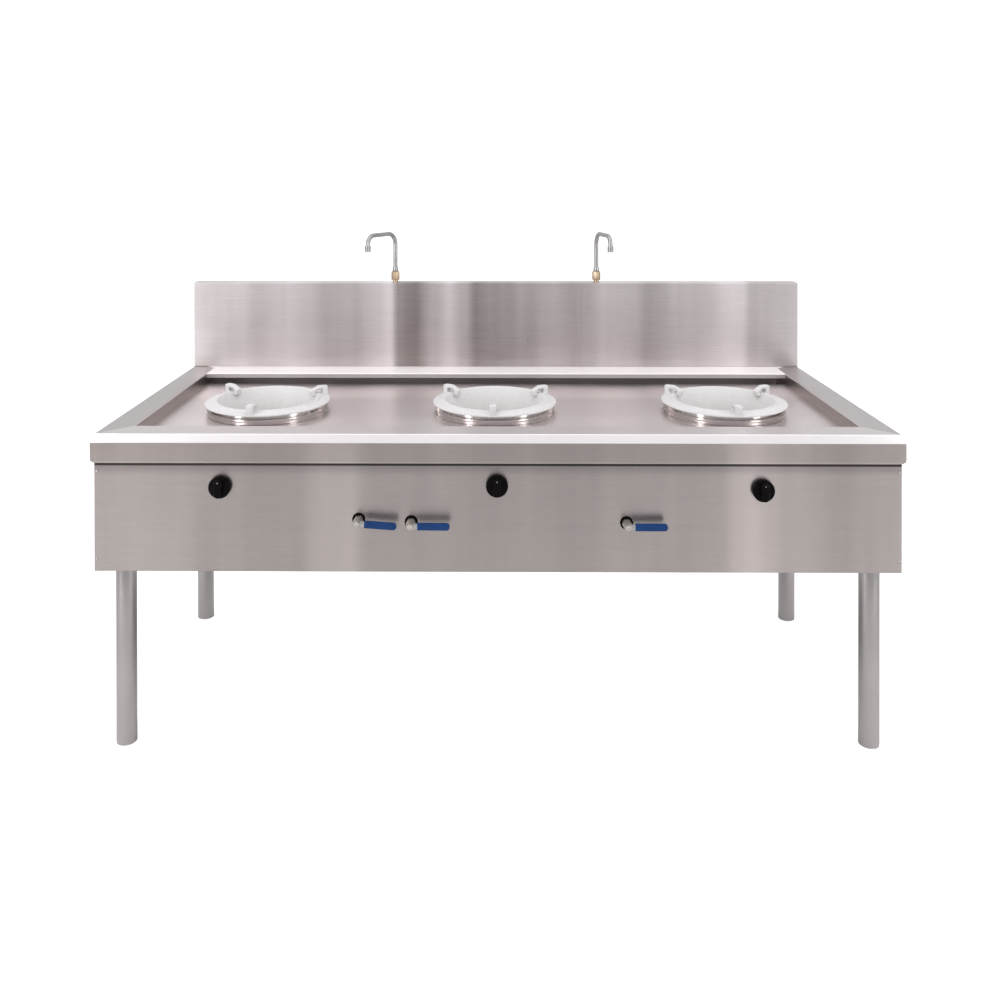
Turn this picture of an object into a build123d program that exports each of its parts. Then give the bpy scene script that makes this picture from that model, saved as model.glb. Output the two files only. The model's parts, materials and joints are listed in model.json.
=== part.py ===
from build123d import *
import os
from math import cos, radians, sin

# A free-standing gas wok range with three burners, in millimetres.
# X runs to the right, Y to the back and Z up. The origin is on the floor, under the
# middle of the space that the whole range takes up.

# ---- overall sizes ----
overall_width = 2000.0
apron_depth = 858.0  # front apron face to rear apron face
rim_height = 805.0
splash_height = 276.0  # above the rim
splash_inset = 55.0  # rear apron face to backsplash face
panel_drop = 340.0  # rim to the bottom of the panels

# ---- sheet metal ----
sheet = 1.5
fold_inside = 1.0  # inside radius of a fold
rim_flat = 73.0
bevel_run = 8.0
bevel_drop = 20.0
apron_height = 50.0
well_depth = 34.0  # worktop below the rim
panel_inset = 8.0  # panels behind the apron face
return_depth = 22.0  # folded edges of the panels
splash_foot_return = 11.0  # folded bottom edge of the backsplash
ledge_depth = 107.0  # ledge in front of the backsplash
ledge_lip = 14.0
seam_left_shift = 6.5  # from the middle between two burners
seam_right_shift = -34.5
seam_gap = 0.4
apron_corner = 12.0  # rounding of the apron's lower corners

# ---- legs and frame ----
leg_radius = 25.4
leg_wall = 1.5
leg_side_inset = 58.0
leg_front_setback = 85.0
leg_rear_setback = 99.0  # from the rear apron face
foot_thickness = 4.0
foot_spigot = 26.0
socket_wall = 2.6
socket_length = 32.0
socket_plate = 3.0
socket_plate_side = 84.0
rail = 40.0  # lower rails and corner posts
rail_wall = 2.0
lower_rail_lift = 40.0  # underside of the lower rails above the panels' bottom
slim_rail = 25.0  # upper rails and cross bearers
slim_wall = 1.5
side_bearer_gap = 14.0  # upper side rail inside the worktop's edge
bracket_width = 30.0
bracket_thickness = 3.0
bracket_pitch = 520.0
bracket_lift = 3.0  # above the underside of the lower rails
screw_radius = 1.6
screw_head_radius = 3.4
screw_head = 1.8
screw_length = 9.0
screw_edge = 7.0  # from the panel's end
screw_low = 28.0  # above the panel's bottom
screw_high = 247.0

# ---- burners ----
burner_distance = 360.0  # front apron face to the burners' centres
burner_left_inset = 356.0  # from the end of the range
burner_right_inset = 358.0
burner_centre_shift = -3.0  # from the middle of the range
ring_radius = 173.0
ring_flange = 4.0
ring_crown = 3.0  # the flange rises this much towards its lip
ring_lip_radius = 127.0
ring_lip_width = 6.0
ring_lip_height = 4.0
ring_lip_taper = 1.0
ring_throat_radius = 104.0
ring_throat_depth = 51.0  # below the flange's underside
ring_wall = 6.0
ring_skirt_depth = 9.0
ring_turn_left = -4.0
ring_turn_centre = -2.0
ring_turn_right = 0.0
ear_width = 18.0
ear_height = 25.0  # above the flange's outer edge
ear_top = 25.0  # level length of the ear's top
ear_fall = 12.0  # drop of the ear's top towards the throat
ear_post = 14.0
ear_leg = 13.0
ear_bar = 8.0  # metal over the ear's window
ear_edge_inset = 2.0  # from the flange's edge
ear_root = 1.0  # ear's foot above the ring's underside
window_sill = 2.0  # above the flange
window_rounding = 4.0
collar_radius = 165.0
collar_height = 28.0
collar_foot = 3.0
collar_bead = 2.5
collar_bead_height = 6.0
collar_seat = 5.5  # turned-in top edge that the ring sits on
ring_skirt_gap = 1.5  # inside the collar's turned-in edge
chamber_radius = 150.0
chamber_depth = 211.0  # worktop surface to the underside of the chamber's floor
chamber_floor_hole = 60.0
chamber_flange_gap = 1.0  # to the collar's inner wall
hole_gap = 5.0  # worktop opening round the chamber
lining_gap = 0.3
lining_mouth_radius = 112.0
lining_throat_radius = 85.0
lining_cone_height = 40.0  # above the chamber's floor
lining_top_gap = 3.0  # below the ring's throat
brick_count = 12
brick_joint = 0.5
burner_flange_radius = 75.0
burner_flange = 6.0
burner_head_radius = 60.0
burner_head_height = 40.0
burner_wall = 7.0
mixer_radius = 22.0
mixer_bore = 16.0
mixer_length = 55.0
bell_radius = 32.0
bell_height = 20.0
port_radius = 3.0
port_count = 12
shutter_radius = 34.0
shutter_thickness = 3.0
air_hole_radius = 4.0
air_hole_circle_radius = 18.0
injector_radius = 10.0
injector_length = 15.0
jet_radius = 4.0
jet_length = 10.0

# ---- gas ----
knob_left_shift = -36.0  # from its burner
knob_centre_shift = 4.0
knob_right_shift = 10.0
knob_left_lift = 1.0  # above the manifold's centre line
knob_centre_lift = 5.0
knob_right_lift = -5.0
knob_radius = 28.5
knob_skirt = 9.0
knob_skirt_taper = 6.0
knob_gap = 1.0  # behind the skirt
grip_height = 19.0
grip_length = 51.0
grip_width = 22.0
grip_rounding = 3.0
pointer_radius = 2.2
pointer_depth = 0.8
pointer_offset = 18.0
stem_radius = 4.0
slip_gap = 0.05  # round stems, tubes and spigots in their holes
stem_grip = 15.0  # stem inside the knob
knob_hole_radius = 8.0
gas_pipe_radius = 13.35
gas_pipe_wall = 2.6
gas_pipe_setback = 62.0
gas_pipe_gap = 3.0  # over the water risers
gas_pipe_end = 80.0  # beyond the left knob
gas_inlet_inset = 115.0
gas_cock_radius = 13.0
gas_cock_gap = 2.5  # behind the panel
gas_stem_depth = 18.0
cock_outlet_setback = 36.0
cock_outlet_radius = 7.0
cock_outlet_drop = 30.0
feed_radius = 6.0
feed_wall = 1.0
feed_setback = 54.0
feed_drop = 30.0  # below the lower rails
feed_bend = 12.0
feed_end_bend = 7.0  # under the injector
feed_straight = 24.0  # below each gas valve
feed_jog_drop = 27.0  # height of the sloping run after it

# ---- water ----
valve_left_shift = -9.0  # from its spout
valve_right_shift = -16.0
valve_rinse_shift = 129.0  # from the left valve
valve_left_rise = 70.0  # above the water manifold
valve_rinse_rise = 64.0
valve_right_rise = 63.0
lever_droop_left = 4.0
lever_droop_rinse = 0.5
lever_droop_right = 0.0
valve_hole_radius = 16.5
valve_setback = 32.0
valve_body_radius = 12.0
valve_ball_radius = 16.0
valve_half_length = 30.0
valve_neck_radius = 8.6
valve_neck_front = 3.0  # neck end behind the apron face
gland_across = 21.0
gland_length = 9.0
lever_standoff = 30.0  # lever plane ahead of the panel
lever_thickness = 2.5
lever_width = 14.0
lever_eye_radius = 9.5
lever_reach = 96.0
sleeve_start = 17.0
sleeve_height = 20.0
sleeve_thickness = 7.5
sleeve_tip = 4.0  # sleeve beyond the end of the lever plate
sleeve_fit = 0.1
nut_across = 13.0
nut_height = 5.0
stem_tip = 1.5
water_pipe_radius = 10.65
water_pipe_wall = 2.0
water_pipe_end = 13.0  # beyond the left valve
water_inlet_inset = 150.0
water_inlet_rise = 95.0  # above the water manifold
riser_rise = 23.0  # above the highest valve
riser_bend = 20.0
rinse_riser_inset = 38.0  # from the rear apron face
inlet_reach = 25.0  # pipe ends stand out of the rear panel
backnut_height = 7.0
backnut_wall = 5.0  # metal round the pipe

# ---- rinse pipe, gutter and drain ----
gutter_front_inset = 156.5  # from the rear apron face
gutter_rear_inset = 70.0
gutter_depth = 40.0
gutter_lip = 15.0  # tucked under the worktop
gutter_joint = 0.2  # between the gutter's welded strips
rinse_radius = 8.0
rinse_wall = 2.0
rinse_inset = 83.0  # from the rear apron face
rinse_drop = 15.0  # below the rim
spray_radius = 1.5
spray_pitch = 100.0
pipe_hole_gap = 0.6
drain_inset = 150.0
drain_rear_inset = 128.0
drain_radius = 21.2
drain_wall = 2.0
drain_flange = 26.0
drain_flange_thickness = 2.0
drain_drop = 76.0  # gutter floor to the level run of the drain
drain_bend = 32.0
drain_nut_radius = 27.0
drain_nut_height = 7.0

# ---- spouts ----
spout_left_shift = -6.5  # from the middle between two burners
spout_right_shift = 15.5
spout_turn_left = 30.0  # degrees out from straight ahead
spout_turn_right = 11.0
spout_radius = 7.0
spout_wall = 1.2
spout_reach = 150.0
spout_top = 161.0  # centre line above the backsplash
spout_drop = 42.0
spout_rear_bend = 38.0
spout_front_bend = 30.0
ferrule_radius = 9.5
ferrule_height = 15.0
outlet_radius = 9.5
outlet_length = 19.0
outlet_lip = 8.0  # outlet below the tube's end
outlet_bore = 6.0
union_across = 26.0
union_height = 28.0
union_lift = 7.0  # bare thread between backsplash and nut
nipple_radius = 8.5
nipple_bore = 5.0
nipple_below = 21.0
spout_seat = 8.0  # solid bottom of the union nut
nipple_gap = 0.1

# ---- places worked out from the sizes above ----
knob_reach = knob_gap + knob_skirt + grip_height
lever_front_reach = lever_standoff + lever_thickness / 2 + nut_height + stem_tip
front_reach = max(knob_reach, lever_front_reach) - panel_inset
rear_reach = inlet_reach - panel_inset
apron_y = (front_reach - apron_depth - rear_reach) / 2
rear_apron_y = apron_y + apron_depth
half_width = overall_width / 2
burner_left_x = -half_width + burner_left_inset
burner_centre_x = burner_centre_shift
burner_right_x = half_width - burner_right_inset
bay_left_x = (burner_left_x + burner_centre_x) / 2
bay_right_x = (burner_centre_x + burner_right_x) / 2
seam_left = bay_left_x + seam_left_shift
seam_right = bay_right_x + seam_right_shift
spout_left_x = bay_left_x + spout_left_shift
spout_right_x = bay_right_x + spout_right_shift
valve_left_x = spout_left_x + valve_left_shift
valve_rinse_x = valve_left_x + valve_rinse_shift
valve_right_x = spout_right_x + valve_right_shift
knob_left_x = burner_left_x + knob_left_shift
knob_centre_x = burner_centre_x + knob_centre_shift
knob_right_x = burner_right_x + knob_right_shift
gas_pipe_end_x = knob_left_x - gas_pipe_end
gas_inlet_x = half_width - gas_inlet_inset
water_pipe_end_x = valve_left_x - water_pipe_end
water_inlet_x = half_width - water_inlet_inset
drain_x = -half_width + drain_inset
well_half = half_width - bevel_run - rim_flat
well_front_y = apron_y + bevel_run + rim_flat
worktop_height = rim_height - well_depth
worktop_edge_x = well_half + sheet
worktop_front_y = well_front_y - sheet
worktop_rear_y = rear_apron_y - gutter_front_inset
under_worktop = worktop_height - sheet
bevel_height = rim_height - bevel_drop
apron_bottom = bevel_height - apron_height
panel_bottom = rim_height - panel_drop
lower_rail_height = panel_bottom + lower_rail_lift
water_pipe_height = lower_rail_height + rail / 2
valve_left_height = water_pipe_height + valve_left_rise
valve_rinse_height = water_pipe_height + valve_rinse_rise
valve_right_height = water_pipe_height + valve_right_rise
water_inlet_height = water_pipe_height + water_inlet_rise
highest_valve = max(valve_left_height, valve_rinse_height, valve_right_height)
riser_height = highest_valve + valve_half_length + riser_rise
gas_pipe_height = riser_height + water_pipe_radius + gas_pipe_gap + gas_pipe_radius
knob_left_height = gas_pipe_height + knob_left_lift
knob_centre_height = gas_pipe_height + knob_centre_lift
knob_right_height = gas_pipe_height + knob_right_lift
feed_height = lower_rail_height - feed_drop
rinse_height = rim_height - rinse_drop
spray_count = int(2 * well_half / spray_pitch) - 1
panel_x = half_width - panel_inset
panel_front_y = apron_y + panel_inset
panel_back_y = panel_front_y + sheet
rear_panel_y = rear_apron_y - panel_inset
rear_panel_top = rim_height - panel_inset
splash_y = rear_apron_y - splash_inset
ledge_front_y = splash_y - ledge_depth
splash_rear_y = rear_apron_y - bevel_run
splash_top = rim_height + splash_height
splash_x = half_width - bevel_run
riser_y = (splash_y + splash_rear_y) / 2
leg_x = half_width - leg_side_inset
leg_front_y = apron_y + leg_front_setback
leg_rear_y = rear_apron_y - leg_rear_setback
lower_rail_top = lower_rail_height + rail
gutter_floor = under_worktop + sheet - gutter_depth
gutter_bottom = gutter_floor - sheet
drain_height = gutter_floor - drain_drop
front_rail_y = leg_front_y + rail / 2
burner_y = apron_y + burner_distance
ring_seat = worktop_height + collar_height
chamber_floor = worktop_height - chamber_depth + sheet
ring_throat_bottom = ring_seat - ring_throat_depth
mixer_bottom = chamber_floor - mixer_length
injector_bottom = mixer_bottom - shutter_thickness - injector_length
gas_pipe_y = apron_y + gas_pipe_setback
water_pipe_y = apron_y + valve_setback
lever_y = panel_front_y - lever_standoff
inlet_y = rear_panel_y + inlet_reach

burner_names = ("left", "centre", "right")
burner_places = (burner_left_x, burner_centre_x, burner_right_x)
ring_turns = (ring_turn_left, ring_turn_centre, ring_turn_right)
knob_places = (
    (knob_left_x, knob_left_height),
    (knob_centre_x, knob_centre_height),
    (knob_right_x, knob_right_height),
)
valve_names = ("left", "rinse", "right")
valve_places = (
    (valve_left_x, valve_left_height),
    (valve_rinse_x, valve_rinse_height),
    (valve_right_x, valve_right_height),
)
lever_droops = (lever_droop_left, lever_droop_rinse, lever_droop_right)
spout_names = ("left", "right")
spout_places = (spout_left_x, spout_right_x)
spout_turns = (-spout_turn_left, spout_turn_right)

os.makedirs("parts", exist_ok=True)


# ---- helpers ----
def finish(piece, name):
    """Label a finished piece and write it to its own file."""
    piece.part.label = name
    export_step(piece.part, f"parts/{name}.step")


def facing(x, y, z, droop=0.0):
    """A plane that faces the cook: its x runs right, dropped by droop degrees, its y up."""
    lean = radians(droop)
    return Plane(origin=(x, y, z), x_dir=(cos(lean), 0, -sin(lean)), z_dir=(0, -1, 0))


def upright(x, y, turn=0.0):
    """An upright plane through (x, y): its x runs outwards at turn degrees, its y up."""
    angle = radians(turn)
    return Plane(
        origin=(x, y, 0), x_dir=(cos(angle), sin(angle), 0), z_dir=(sin(angle), -cos(angle), 0)
    )


def along_x(x):
    """The upright plane across X at x: its x runs to the back, its y up."""
    return Plane.YZ.offset(x)


def folded_section(plane, points, side):
    """The section of a sheet folded through points, its thickness to one side of them."""
    with BuildSketch(plane) as section:
        with BuildLine():
            FilletPolyline(*points, radius=sheet + fold_inside)
            offset(amount=sheet, side=side)
        make_face()
    return section.sketch


def turned_section(x, y, points):
    """The half section of a turned piece about the upright axis through (x, y)."""
    with BuildSketch(upright(x, y)) as section:
        with BuildLine():
            Polyline(*points, close=True)
        make_face()
    return section.sketch


def upright_axis(x, y):
    return Axis((x, y, 0), (0, 0, 1))


def pipe(points, radius, wall, bend):
    """A round tube bent through points."""
    with BuildPart() as tube:
        with BuildLine() as route:
            FilletPolyline(*points, radius=bend)
        start = Vector(*points[1]) - Vector(*points[0])
        with BuildSketch(Plane(origin=points[0], z_dir=start)):
            Circle(radius)
            Circle(radius - wall, mode=Mode.SUBTRACT)
        sweep(path=route.wire())
    return tube.part


def square_tube(low, high, side, wall):
    """A square tube along its longest side, between its low and high corners."""
    size = [high[i] - low[i] for i in range(3)]
    length_axis = size.index(max(size))
    bore = [size[i] if i == length_axis else side - 2 * wall for i in range(3)]
    middle = tuple((high[i] + low[i]) / 2 for i in range(3))
    with BuildPart() as tube:
        with Locations(middle):
            Box(*size)
            Box(*bore, mode=Mode.SUBTRACT)
    return tube.part


def backnut(x, z, radius, wall):
    """The hexagonal nut that holds a pipe of that radius outside the rear panel."""
    with BuildPart() as nut:
        with BuildSketch(facing(x, rear_panel_y, z)):
            RegularPolygon(radius + backnut_wall, 6, major_radius=False)
            Circle(radius - wall, mode=Mode.SUBTRACT)
        extrude(amount=-backnut_height)
    return nut.part


def plan_corners(sign_x):
    """Plan outline of the corner areas beside the rim mitres, on the side sign_x."""
    outer = sign_x * half_width
    inner = sign_x * well_half
    beyond = sign_x * (half_width + rim_flat)
    reach = bevel_run + rim_flat
    return (
        (outer, apron_y),
        (inner, apron_y + reach),
        (inner, rear_apron_y - reach),
        (outer, rear_apron_y),
        (beyond, rear_apron_y),
        (beyond, apron_y),
    )


def side_area(sign_x):
    """The upright block over a side rim's own area, between its two mitres."""
    with BuildPart() as area:
        with BuildSketch(Plane.XY.offset(panel_bottom)):
            with BuildLine():
                Polyline(*plan_corners(sign_x), close=True)
            make_face()
        extrude(amount=splash_top - panel_bottom)
    return area.part


# ---- legs ----
leg_places = {
    "front_left": (-leg_x, leg_front_y),
    "front_right": (leg_x, leg_front_y),
    "rear_left": (-leg_x, leg_rear_y),
    "rear_right": (leg_x, leg_rear_y),
}
leg_top = lower_rail_height - socket_plate

for place, (x, y) in leg_places.items():
    with BuildPart() as leg:
        with BuildSketch(Plane.XY.offset(foot_thickness)):
            with Locations((x, y)):
                Circle(leg_radius)
                Circle(leg_radius - leg_wall, mode=Mode.SUBTRACT)
        extrude(amount=leg_top - foot_thickness)
    finish(leg, f"leg_{place}")

with BuildPart() as foot_plugs:
    with BuildSketch(Plane.XY):
        with Locations(*leg_places.values()):
            Circle(leg_radius)
    extrude(amount=foot_thickness)
    with BuildSketch(Plane.XY.offset(foot_thickness)):
        with Locations(*leg_places.values()):
            Circle(leg_radius - leg_wall - slip_gap)
    extrude(amount=foot_spigot)
finish(foot_plugs, "foot_plugs")

with BuildPart() as leg_sockets:
    with BuildSketch(Plane.XY.offset(leg_top)):
        with Locations(*leg_places.values()):
            Rectangle(socket_plate_side, socket_plate_side)
    extrude(amount=socket_plate)
    with BuildSketch(Plane.XY.offset(leg_top - socket_length)):
        with Locations(*leg_places.values()):
            Circle(leg_radius + slip_gap + socket_wall)
            Circle(leg_radius + slip_gap, mode=Mode.SUBTRACT)
    extrude(amount=socket_length)
finish(leg_sockets, "leg_sockets")

# ---- frame ----
rail_half = rail / 2
with BuildPart() as lower_frame:
    for y in (leg_front_y, leg_rear_y):
        low = (-panel_x + sheet, y - rail_half, lower_rail_height)
        add(square_tube(low, (panel_x - sheet, y + rail_half, lower_rail_top), rail, rail_wall))
    for x in (-leg_x, leg_x):
        low = (x - rail_half, leg_front_y + rail_half, lower_rail_height)
        high = (x + rail_half, leg_rear_y - rail_half, lower_rail_top)
        add(square_tube(low, high, rail, rail_wall))
finish(lower_frame, "lower_frame")

front_post_top = under_worktop - slim_rail
rear_post_top = gutter_bottom - slim_rail
with BuildPart() as corner_posts:
    for y, top in ((leg_front_y, front_post_top), (leg_rear_y, rear_post_top)):
        for x in (-leg_x, leg_x):
            low = (x - rail_half, y - rail_half, lower_rail_top)
            add(square_tube(low, (x + rail_half, y + rail_half, top), rail, rail_wall))
finish(corner_posts, "corner_posts")

front_rail_front_y = front_rail_y - slim_rail
side_rail_x = worktop_edge_x - side_bearer_gap - slim_rail / 2
bearer_rear_y = worktop_rear_y - sheet - gutter_lip
with BuildPart() as upper_frame:
    low = (-leg_x - rail_half, front_rail_front_y, under_worktop - slim_rail)
    high = (leg_x + rail_half, front_rail_y, under_worktop)
    add(square_tube(low, high, slim_rail, slim_wall))
    low = (-leg_x - rail_half, leg_rear_y + rail_half - slim_rail, rear_post_top)
    high = (leg_x + rail_half, leg_rear_y + rail_half, gutter_bottom)
    add(square_tube(low, high, slim_rail, slim_wall))
finish(upper_frame, "upper_frame")

with BuildPart() as cross_bearers:
    for x in (-side_rail_x, bay_left_x, bay_right_x, side_rail_x):
        low = (x - slim_rail / 2, front_rail_y, under_worktop - slim_rail)
        high = (x + slim_rail / 2, bearer_rear_y, under_worktop)
        add(square_tube(low, high, slim_rail, slim_wall))
finish(cross_bearers, "cross_bearers")

with BuildPart() as panel_brackets:
    rear_length = rear_panel_y - sheet - leg_rear_y - rail_half
    front_length = leg_front_y - rail_half - panel_back_y
    front_middle = panel_back_y + front_length / 2
    rear_middle = leg_rear_y + rail_half + rear_length / 2
    for y, length in ((front_middle, front_length), (rear_middle, rear_length)):
        with BuildSketch(Plane.XY.offset(lower_rail_height + bracket_lift)):
            with Locations((0, y)):
                with GridLocations(bracket_pitch, 0, 4, 1):
                    Rectangle(bracket_width, length)
        extrude(amount=bracket_thickness)
finish(panel_brackets, "panel_brackets")

# ---- worktop and rims ----
with BuildPart() as worktop:
    with BuildSketch(Plane.XY.offset(under_worktop)):
        with Locations((0, (worktop_front_y + worktop_rear_y) / 2)):
            Rectangle(2 * worktop_edge_x, worktop_rear_y - worktop_front_y)
        with Locations(*[(x, burner_y) for x in burner_places]):
            Circle(chamber_radius + hole_gap, mode=Mode.SUBTRACT)
    extrude(amount=sheet)
finish(worktop, "worktop")

with BuildPart() as front_rim:
    rim_points = (
        (apron_y, apron_bottom),
        (apron_y, bevel_height),
        (apron_y + bevel_run, rim_height),
        (well_front_y, rim_height),
        (well_front_y, worktop_height),
    )
    extrude(folded_section(along_x(-half_width), rim_points, Side.RIGHT), amount=overall_width)
    for sign in (-1, 1):
        add(side_area(sign), mode=Mode.SUBTRACT)
    with BuildSketch(facing(0, apron_y + sheet, 0)):
        with Locations((0, bevel_height)):
            Rectangle(overall_width, 2 * apron_height)
        with Locations((0, bevel_height)):
            RectangleRounded(overall_width, 2 * apron_height, apron_corner, mode=Mode.SUBTRACT)
    extrude(amount=sheet, mode=Mode.SUBTRACT)
finish(front_rim, "front_rim")

for sign, name in ((-1, "left_rim"), (1, "right_rim")):
    with BuildPart() as side_rim:
        rim_points = (
            (sign * half_width, apron_bottom),
            (sign * half_width, bevel_height),
            (sign * (half_width - bevel_run), rim_height),
            (sign * well_half, rim_height),
            (sign * well_half, worktop_height),
        )
        inner_side = Side.RIGHT if sign < 0 else Side.LEFT
        section = folded_section(facing(0, rear_apron_y, 0), rim_points, inner_side)
        extrude(section, amount=apron_depth)
        add(side_area(sign), mode=Mode.INTERSECT)
        middle_y = (apron_y + rear_apron_y) / 2
        outer_face = sign * half_width - (sheet if sign > 0 else 0)
        with BuildSketch(along_x(outer_face)):
            with Locations((middle_y, bevel_height)):
                Rectangle(apron_depth, 2 * apron_height)
            with Locations((middle_y, bevel_height)):
                RectangleRounded(
                    apron_depth, 2 * apron_height, apron_corner, mode=Mode.SUBTRACT
                )
        extrude(amount=sheet, mode=Mode.SUBTRACT)
    finish(side_rim, name)

section_ends = (
    (-half_width, seam_left - seam_gap / 2),
    (seam_left + seam_gap / 2, seam_right - seam_gap / 2),
    (seam_right + seam_gap / 2, half_width),
)
with BuildPart() as rear_ledge:
    ledge_points = (
        (ledge_front_y, rim_height - ledge_lip),
        (ledge_front_y, rim_height),
        (rear_apron_y - bevel_run, rim_height),
        (rear_apron_y, bevel_height),
        (rear_apron_y, apron_bottom),
    )
    for start, end in section_ends:
        section = folded_section(along_x(start), ledge_points, Side.RIGHT)
        extrude(section, amount=end - start)
    for sign in (-1, 1):
        add(side_area(sign), mode=Mode.SUBTRACT)
    with BuildSketch(Plane.XY.offset(rim_height - sheet)):
        with Locations(*[(x, riser_y) for x in spout_places]):
            Circle(water_pipe_radius + pipe_hole_gap)
    extrude(amount=sheet, mode=Mode.SUBTRACT)
finish(rear_ledge, "rear_ledge")

# ---- backsplash ----
with BuildPart() as backsplash:
    splash_points = (
        (splash_y + splash_foot_return, rim_height),
        (splash_y, rim_height),
        (splash_y, splash_top),
        (splash_rear_y, splash_top),
        (splash_rear_y, splash_top - return_depth),
    )
    for start, end in section_ends:
        low_x = max(start, -splash_x)
        section = folded_section(along_x(low_x), splash_points, Side.RIGHT)
        extrude(section, amount=min(end, splash_x) - low_x)
    for x in (-splash_x, splash_x - sheet):
        with BuildSketch(along_x(x)):
            with Locations(((splash_y + splash_rear_y) / 2, (rim_height + splash_top) / 2)):
                RectangleRounded(
                    splash_rear_y - splash_y, splash_height, (sheet + fold_inside)
                )
        extrude(amount=sheet)
    with BuildSketch(Plane.XY.offset(splash_top - sheet)):
        with Locations(*[(x, riser_y) for x in spout_places]):
            Circle(nipple_radius + nipple_gap)
    extrude(amount=sheet, mode=Mode.SUBTRACT)
finish(backsplash, "backsplash")

with BuildPart() as backsplash_rear_cover:
    cover_height = splash_height - return_depth
    with BuildSketch(facing(0, splash_rear_y, rim_height + cover_height / 2)):
        Rectangle(2 * (splash_x - sheet), cover_height)
    extrude(amount=sheet)
finish(backsplash_rear_cover, "backsplash_rear_cover")

# ---- panels ----
screw_xs = (-panel_x + screw_edge, panel_x - screw_edge)
screw_heights = (panel_bottom + screw_low, panel_bottom + screw_high)
screw_spots = [(x, z) for x in screw_xs for z in screw_heights]
notch_x = panel_x - return_depth
panel_middle_z = (under_worktop + panel_bottom) / 2

with BuildPart() as front_panel:
    panel_points = (
        (front_rail_front_y, under_worktop),
        (panel_front_y, under_worktop),
        (panel_front_y, panel_bottom),
        (panel_front_y + return_depth, panel_bottom),
    )
    extrude(folded_section(along_x(-panel_x), panel_points, Side.LEFT), amount=2 * panel_x)
    for x in (-panel_x, notch_x):
        with Locations((x, panel_back_y, panel_bottom)):
            Box(
                return_depth,
                front_rail_front_y - panel_back_y,
                under_worktop - panel_bottom,
                align=(Align.MIN, Align.MIN, Align.MIN),
                mode=Mode.SUBTRACT,
            )
    with BuildSketch(facing(0, panel_back_y, 0)):
        with Locations(*knob_places):
            Circle(knob_hole_radius)
        with Locations(*valve_places):
            Circle(valve_hole_radius)
        with Locations(*screw_spots):
            Circle(screw_radius)
    extrude(amount=sheet, mode=Mode.SUBTRACT)
finish(front_panel, "front_panel")

with BuildPart() as rear_panel:
    panel_points = (
        (rear_panel_y, rear_panel_top),
        (rear_panel_y, panel_bottom),
        (rear_panel_y - return_depth, panel_bottom),
    )
    extrude(folded_section(along_x(-panel_x), panel_points, Side.RIGHT), amount=2 * panel_x)
    for x in (-panel_x, notch_x):
        with Locations((x, rear_panel_y - sheet, panel_bottom)):
            Box(
                return_depth,
                2 * return_depth,
                return_depth,
                align=(Align.MIN, Align.MAX, Align.MIN),
                mode=Mode.SUBTRACT,
            )
    with BuildSketch(facing(0, rear_panel_y, 0)):
        with Locations((gas_inlet_x, gas_pipe_height)):
            Circle(gas_pipe_radius + pipe_hole_gap)
        with Locations((water_inlet_x, water_inlet_height)):
            Circle(water_pipe_radius + pipe_hole_gap)
        with Locations((drain_x, drain_height)):
            Circle(drain_radius + pipe_hole_gap)
        with Locations(*screw_spots):
            Circle(screw_radius)
    extrude(amount=sheet, mode=Mode.SUBTRACT)
finish(rear_panel, "rear_panel")

side_panel_depth = rear_panel_y - sheet - panel_back_y
for sign, name in ((-1, "left_side_panel"), (1, "right_side_panel")):
    with BuildPart() as side_panel:
        middle_y = panel_back_y + side_panel_depth / 2
        with Locations((sign * (panel_x - return_depth / 2), middle_y, panel_middle_z)):
            Box(return_depth, side_panel_depth, under_worktop - panel_bottom)
        with Locations((sign * (panel_x - sheet - return_depth / 2), middle_y, panel_middle_z)):
            Box(
                return_depth,
                side_panel_depth - 2 * sheet,
                under_worktop - panel_bottom - 2 * sheet,
                mode=Mode.SUBTRACT,
            )
        with BuildSketch(facing(0, rear_panel_y, 0)):
            with Locations(*screw_spots):
                Circle(screw_radius)
        extrude(amount=rear_panel_y - panel_front_y, mode=Mode.SUBTRACT)
    finish(side_panel, name)

with BuildPart() as panel_screws:
    for face_y, outward in ((panel_front_y, 1), (rear_panel_y, -1)):
        with BuildSketch(facing(0, face_y, 0)):
            with Locations(*screw_spots):
                Circle(screw_head_radius)
        extrude(amount=outward * screw_head)
        with BuildSketch(facing(0, face_y, 0)):
            with Locations(*screw_spots):
                Circle(screw_radius - slip_gap)
        extrude(amount=-outward * screw_length)
finish(panel_screws, "panel_screws")

# ---- gutter, rinse pipe and drain ----
gutter_rear_y = rear_apron_y - gutter_rear_inset
rinse_y = rear_apron_y - rinse_inset
drain_y = rear_apron_y - drain_rear_inset
rinse_feed_y = rear_apron_y - rinse_riser_inset

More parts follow.
